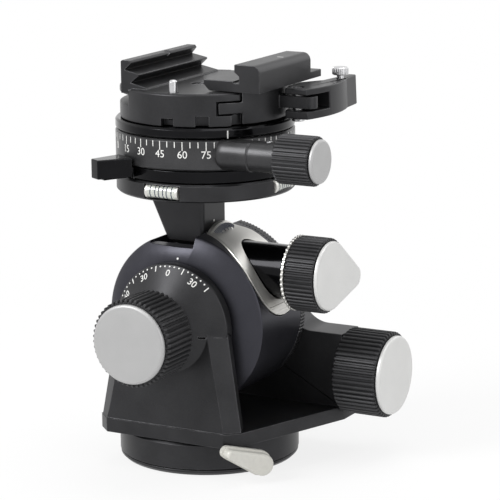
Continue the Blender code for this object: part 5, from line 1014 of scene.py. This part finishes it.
dress(lathe("pan_worm_bush_turned", [
    (2.3, 6.6), (2.6, 6.6), (2.6, 18.6), (3.3, 18.6), (3.3, 38.7), (2.3, 38.7)],
    PAN_DRIVE, sides=64), bronze, "rocking_stem", "pan_worm_bush")

# %% [markdown]
# The ring is printed with a line every five degrees, a longer one every fifteen, and upright
# numbers below the long ones. The numbers are text bent round the ring.

# %% Graduation and index mark


def on_ring(bm, degrees, radius, height):
    for point in bm.verts:
        angle = math.radians(degrees) + point.co.x / radius
        r = radius + point.co.z + 0.02
        point.co = (r * math.sin(angle), -r * math.cos(angle), height + point.co.y)
    return bm


ticks = grow("ring_ticks", mark_tree, white_print, Count=72, First=-90.0, Step=5.0,
             Radius=29.42, Height=110.0, Width=0.28, Length=1.9, Long_Length=2.8, Depth=0.05)
dress(ticks, white_print, "rocking_stem")
numbers = [on_ring(digits(str(value), 3.4), value - 45, RING_RADIUS, 105.8)
           for value in range(0, 360, 15) if value != 90]
gather("ring_numbers", numbers, white_print, "rocking_stem")
index_mark = grow("index_mark", mark_tree, white_print, Count=1, First=-46.5, Radius=29.42,
                  Height=113.5, Width=0.42, Length=2.5, Long_Length=2.5, Depth=0.05)
dress(index_mark, white_print, "pan_table")
print("ring carries", len(ticks.data.polygons) // 6, "lines")

# %% Index ring
dress(lathe("index_ring_turned", [(0, 110.8)] + rim(110.8, 114.2) + [(0, 114.2)], corner=0.25,
            sides=192), gloss, "pan_table", "index_ring")
dress(lathe("collar_screw_turned", [
    (0, 109.9), (1.1, 109.9), (1.1, 111.1), (0.7, 111.3), (0.5, 111.3), (0.5, 110.7), (0, 110.7)],
    COLLAR_SCREW, sides=32), steel, "rocking_stem", "collar_screw")
print("index ring turns with the clamp")

# %% [markdown]
# ## The clamp
#
# The clamp is a low round body with a fixed rail on the left and a moving jaw on the right.
# The rail has two dovetail grooves one above the other, for two sizes of camera plate. Small
# square notches run round its foot. The body is lathed, the rail is an extrusion, and the
# notches are one block repeated by the copies tree and cut away.

# %% Clamp body
CLAMP_RADIUS = 27.7
CLAMP_TOP = 134.1
RAIL_FOOT = 123.4
STOP_PIN = at("Z", (2.6, -24.8, 0))
DRAW_BAR = at("X", (0, 0, 120.2))
clamp = lathe("clamp_round", [
    (0, 114.5), (CLAMP_RADIUS, 114.5), (CLAMP_RADIUS, 124.4), (27.1, 125.0), (0, 125.0)], sides=192)
rail_outline = [
    (-17.6, RAIL_FOOT), (-8.0, RAIL_FOOT), (-8.0, 125.5), (-13.9, 126.9), (-10.8, 129.3),
    (-10.8, 129.8), (-16.1, 131.0), (-13.7, 133.2), (-14.0, CLAMP_TOP), (-17.1, CLAMP_TOP),
    (-17.6, 133.6)]
RAIL_SLOPE = (24.3 - 18.7) / (CLAMP_TOP - RAIL_FOOT)
rail_rear = [(x, z, (z - RAIL_FOOT) * RAIL_SLOPE - 24.3) for x, z in rail_outline]
rail = loft("rail", [rail_rear, [(x, z, 23.5) for x, z in rail_outline]], SIDE_VIEW)
sight = extrude("sight", [(-1.4, 134.4), (0, 132.3), (1.4, 134.4)], -15.8, 0,
                Matrix.Translation((0, 1.0, 0)) @ at("X"))
notch = block("notch", (25.2, -2.1, 112.5), (29.7, 2.1, 116.9))
grow("notch", copy_tree, black, start=notch, Count=15, First=-86.4, Step=24.0)


def whole_depth(left, right, low, high):
    """A block that cuts through the clamp from front to rear."""
    return block("whole_depth", (left, -55, low), (right, 55, high))


cuts = [whole_depth(22.1, 55, 112.5, CLAMP_TOP), whole_depth(-55, -15, 119.4, 122.8),
        whole_depth(16.6, 55, 117.9, 122.5), sight, notch,
        bore(1.65, 116.2, 134, STOP_PIN, sides=48), bore(1.5, 3.4, 24.3, DRAW_BAR, sides=32)]
for y in (-4, 4):
    cuts.append(lathe("screw_hole", [
        (0, 112.5), (1.5, 112.5), (1.5, 123.3), (2.4, 123.3), (2.4, 127), (0, 127)],
        at("Z", (0, y, 0)), sides=48))
machine(clamp, black, "pan_table", "clamp_body", edge=0.22, add=[rail], cut=cuts)

# %% Clamp screws
for name, node, y in (("front_screw", "clamp_screw_front", -4),
                      ("rear_screw", "clamp_screw_rear", 4)):
    screw = lathe(name, [
        (0, 105.0), (1.2, 105.0), (1.2, 123.6), (2.1, 123.6), (2.1, 124.6), (0, 124.6)],
        at("Z", (0, y, 0)), corner=0.15, sides=48)
    socket = extrude("socket", arc((0, y), 1.1, 0, 300, 5), 123.8, 126)
    machine(screw, steel, "pan_table", node, cut=[socket])

# %% [markdown]
# ## The jaw
#
# The jaw slides on a tongue in the body. Its outline is a slab with a dovetail lip and a
# rounded back, extruded along the rail, and a segment of the round body hangs below it. A lug
# reaches out to the lever.

# %% Jaw
jaw_outline = [(9.8, 128.8), (9.8, 127.2), (11.7, 125.3), (30.0, 125.3)]
jaw_outline += arc((27.4, 131.5), 2.6, 0, 90, 12)
jaw_outline += [(20.9, CLAMP_TOP), (20.9, 131.6), (22.6, 130.3), (22.6, 128.2), (20.6, 128.2),
                (20.6, 128.8)]
jaw = extrude("jaw_body", jaw_outline, -25.0, 18.0, SIDE_VIEW)
segment = lathe("segment", [
    (0, 114.8), (CLAMP_RADIUS, 114.8), (CLAMP_RADIUS, 126.2), (27.1, 126.8), (0, 126.8)], sides=192)
shape(segment, cut=[whole_depth(-55, 22.6, 112, CLAMP_TOP)])
tongue = tube("tongue", 0, CLAMP_RADIUS, 118.4, 122.0, sides=192)
shape(tongue, cut=[whole_depth(-55, 17.2, 112, CLAMP_TOP)])
PIVOT = at("Z", (33.2, 2.2, 0))
lug = extrude("lug", [(24.6, -0.6), (37.1, -0.6)] + arc((37.1, 2.2), 2.8, -90, 90, 16)
              + [(24.6, 5.0)], 118.4, 122.4)
machine(jaw, black, "moving_jaw", "clamp_jaw", edge=0.3, add=[segment, tongue, lug], cut=[
    block("rear_step", (5, 17.5, 127.7), (32, 27, 136)),
    bore(1.9, 116, 125, PIVOT, sides=48), bore(1.5, 15, 25.3, DRAW_BAR, sides=32)])
mark = block("jaw_mark", (25.0, 3.2, CLAMP_TOP - 0.04), (27.2, 3.8, CLAMP_TOP + 0.02))
dress(mark, white_print, "moving_jaw")

# %% [markdown]
# ## The flip lever
#
# The lever pulls the jaw in. In plan it is a crescent with a stepped inner edge; its outer side
# leans inwards towards the top, and a slot takes the jaw's lug. A small button near its tip
# locks it.

# %% Lever, pin and button


def lever_plan(outer, height):
    start = math.degrees(math.asin(-14.8 / outer))
    end = math.degrees(math.asin(13.2 / outer))
    outline = arc((0, 13), outer, start, end, 28)
    outline += [(outer - 3.1, 35.0), (35.2, 35.0), (33.4, 19.2), (28.6, 11.9), (28.6, 4.5),
                (30.5, -1.8)]
    return [(x, y, height) for x, y in outline]


BUTTON_X, BUTTON_Y = 37.2, 24.5
BUTTON = at("Z", (BUTTON_X, BUTTON_Y, 0))
lever = loft("lever_body", [lever_plan(41.3, 115.2), lever_plan(40.9, 125.0)])
machine(lever, black, "clamp_lever", "flip_lever", edge=0.4, steps=3, cut=[
    block("lug_slot", (22.3, -9.5, 117.8), (44.8, 9.5, 123.0)),
    bore(1.9, 113, 127, PIVOT, sides=48), bore(1.5, 117.7, 127, BUTTON, sides=48)])
pin = lathe("lever_pin", [
    (0, 114.0), (2.1, 114.0), (2.1, 114.9), (1.6, 114.9), (1.6, 124.7), (0, 124.7)],
    PIVOT, corner=0.3, sides=64)
dress(pin, steel, "clamp_lever", "lever_pivot_pin")
button = grow("lock_button", rib_tree, steel, turn=at("Z", (BUTTON_X, BUTTON_Y, 127.55)), Ribs=24,
              Radius=2.7, Groove=0.2, Length=2.5, Edge=0.3)
machine(button, steel, "lever_lock", "lever_button", add=[
    tube("stalk", 0, 1.2, 119.0, 126.8, BUTTON, sides=48)])
safety = lathe("stop_pin", [(0, 120.0), (1.35, 120.0), (1.35, 128.5), (0.9, 129.0), (0, 129.0)],
               STOP_PIN, corner=0.15, sides=64)
dress(safety, steel, "plate_stop", "safety_pin")

# %% [markdown]
# ## What stays as it is
#
# Shafts, gears, bushes and nuts inside the head have the right shape already. They keep their
# measured solids and only get the finer finishes, by the material slot each was given, except the
# bronze sector gear, which is painted black as the shade it sits in.

# %% Finishes for the inner pieces
slots = {part["node"]: part["material_slot"] for part in frame["record"]["subparts"]}
for name, node in frame["nodes"].items():
    # The bronze sector gear takes the black finish: painted shade for the dark place it sits in.
    finish = black if name == "sector_gear" else BY_SLOT[slots[name]]
    for place_in_list in node.material_slots:
        place_in_list.material = finish
print("inner pieces finished:", len(slots))

# %% [markdown]
# ## Light and floor
#
# The photograph has a pure white ground and soft light: a large lamp high on the left, a weaker
# one on the right and a strip above. The floor and the world are white to the camera and to
# reflections. Close to the head the floor glows a little less and its plain diffuse part shows
# through, so that it keeps a faint shadow.

# %% Floor and world


def background_ray(tree):
    """1 for rays that see the background directly, in a reflection or through glass."""
    path = tree.nodes.new("ShaderNodeLightPath").outputs
    return math_node(tree, "MAXIMUM", path["Is Camera Ray"], math_node(
        tree, "MAXIMUM", path["Is Glossy Ray"], path["Is Transmission Ray"]))


floor_bm = bmesh.new()
bmesh.ops.create_grid(floor_bm, x_segments=1, y_segments=1, size=3.0)
floor = solid("floor", floor_bm)
floor.location.z = -0.1 * MM
paper = bpy.data.materials.new("paper")
paper.use_nodes = True
tree = paper.node_tree
plain = tree.nodes["Principled BSDF"]
plain.inputs["Base Color"].default_value = (0.9, 0.9, 0.9, 1)
plain.inputs["Roughness"].default_value = 0.9
from_head = math_node(tree, "LENGTH", add_node(tree, "ShaderNodeTexCoord", "Object"),
                      kind="ShaderNodeVectorMath", pick="Value")
fade = spread_node(tree, from_head, 0.05, 0.30, 0.82, 1.0)
seen = math_node(tree, "MULTIPLY", background_ray(tree), fade)
mixed = tree.nodes.new("ShaderNodeMixShader")
for socket, value in zip(mixed.inputs, (seen, plain.outputs[0],
                                        add_node(tree, "ShaderNodeEmission"))):
    feed(tree, value, socket)
feed(tree, mixed.outputs[0], tree.nodes["Material Output"].inputs["Surface"])
floor.data.materials.append(paper)

world = bpy.data.worlds.new("studio")
scene.world = world
world.use_nodes = True
tree = world.node_tree
sky = tree.nodes["Background"].inputs
sky["Color"].default_value = (1, 1, 1, 1)
feed(tree, spread_node(tree, background_ray(tree), 0.0, 1.0, 0.45, 1.0), sky["Strength"])
print("floor and world are white to the camera")

# %% Lamps
scene.view_settings.view_transform = "Standard"
AIM = Vector((0, 0, 70)) * MM


def lamp(name, place_mm, size, power):
    light = bpy.data.lights.new(name, "AREA")
    light.shape = "RECTANGLE"
    light.size, light.size_y = size
    light.energy = power
    made = bpy.data.objects.new(name, light)
    place = Vector(place_mm) * MM
    facing = (AIM - place).to_track_quat("-Z", "Y").to_matrix().to_4x4()
    made.matrix_world = Matrix.Translation(place) @ facing
    scene.collection.objects.link(made)


lamp("key", (-420, -620, 620), (0.35, 0.45), 6.0)
lamp("fill", (800, -250, 260), (0.4, 0.6), 1.2)
lamp("top", (60, 120, 800), (0.5, 0.5), 2.0)
lamp("rear", (300, 700, 400), (0.5, 0.5), 0.9)
print("four lamps")
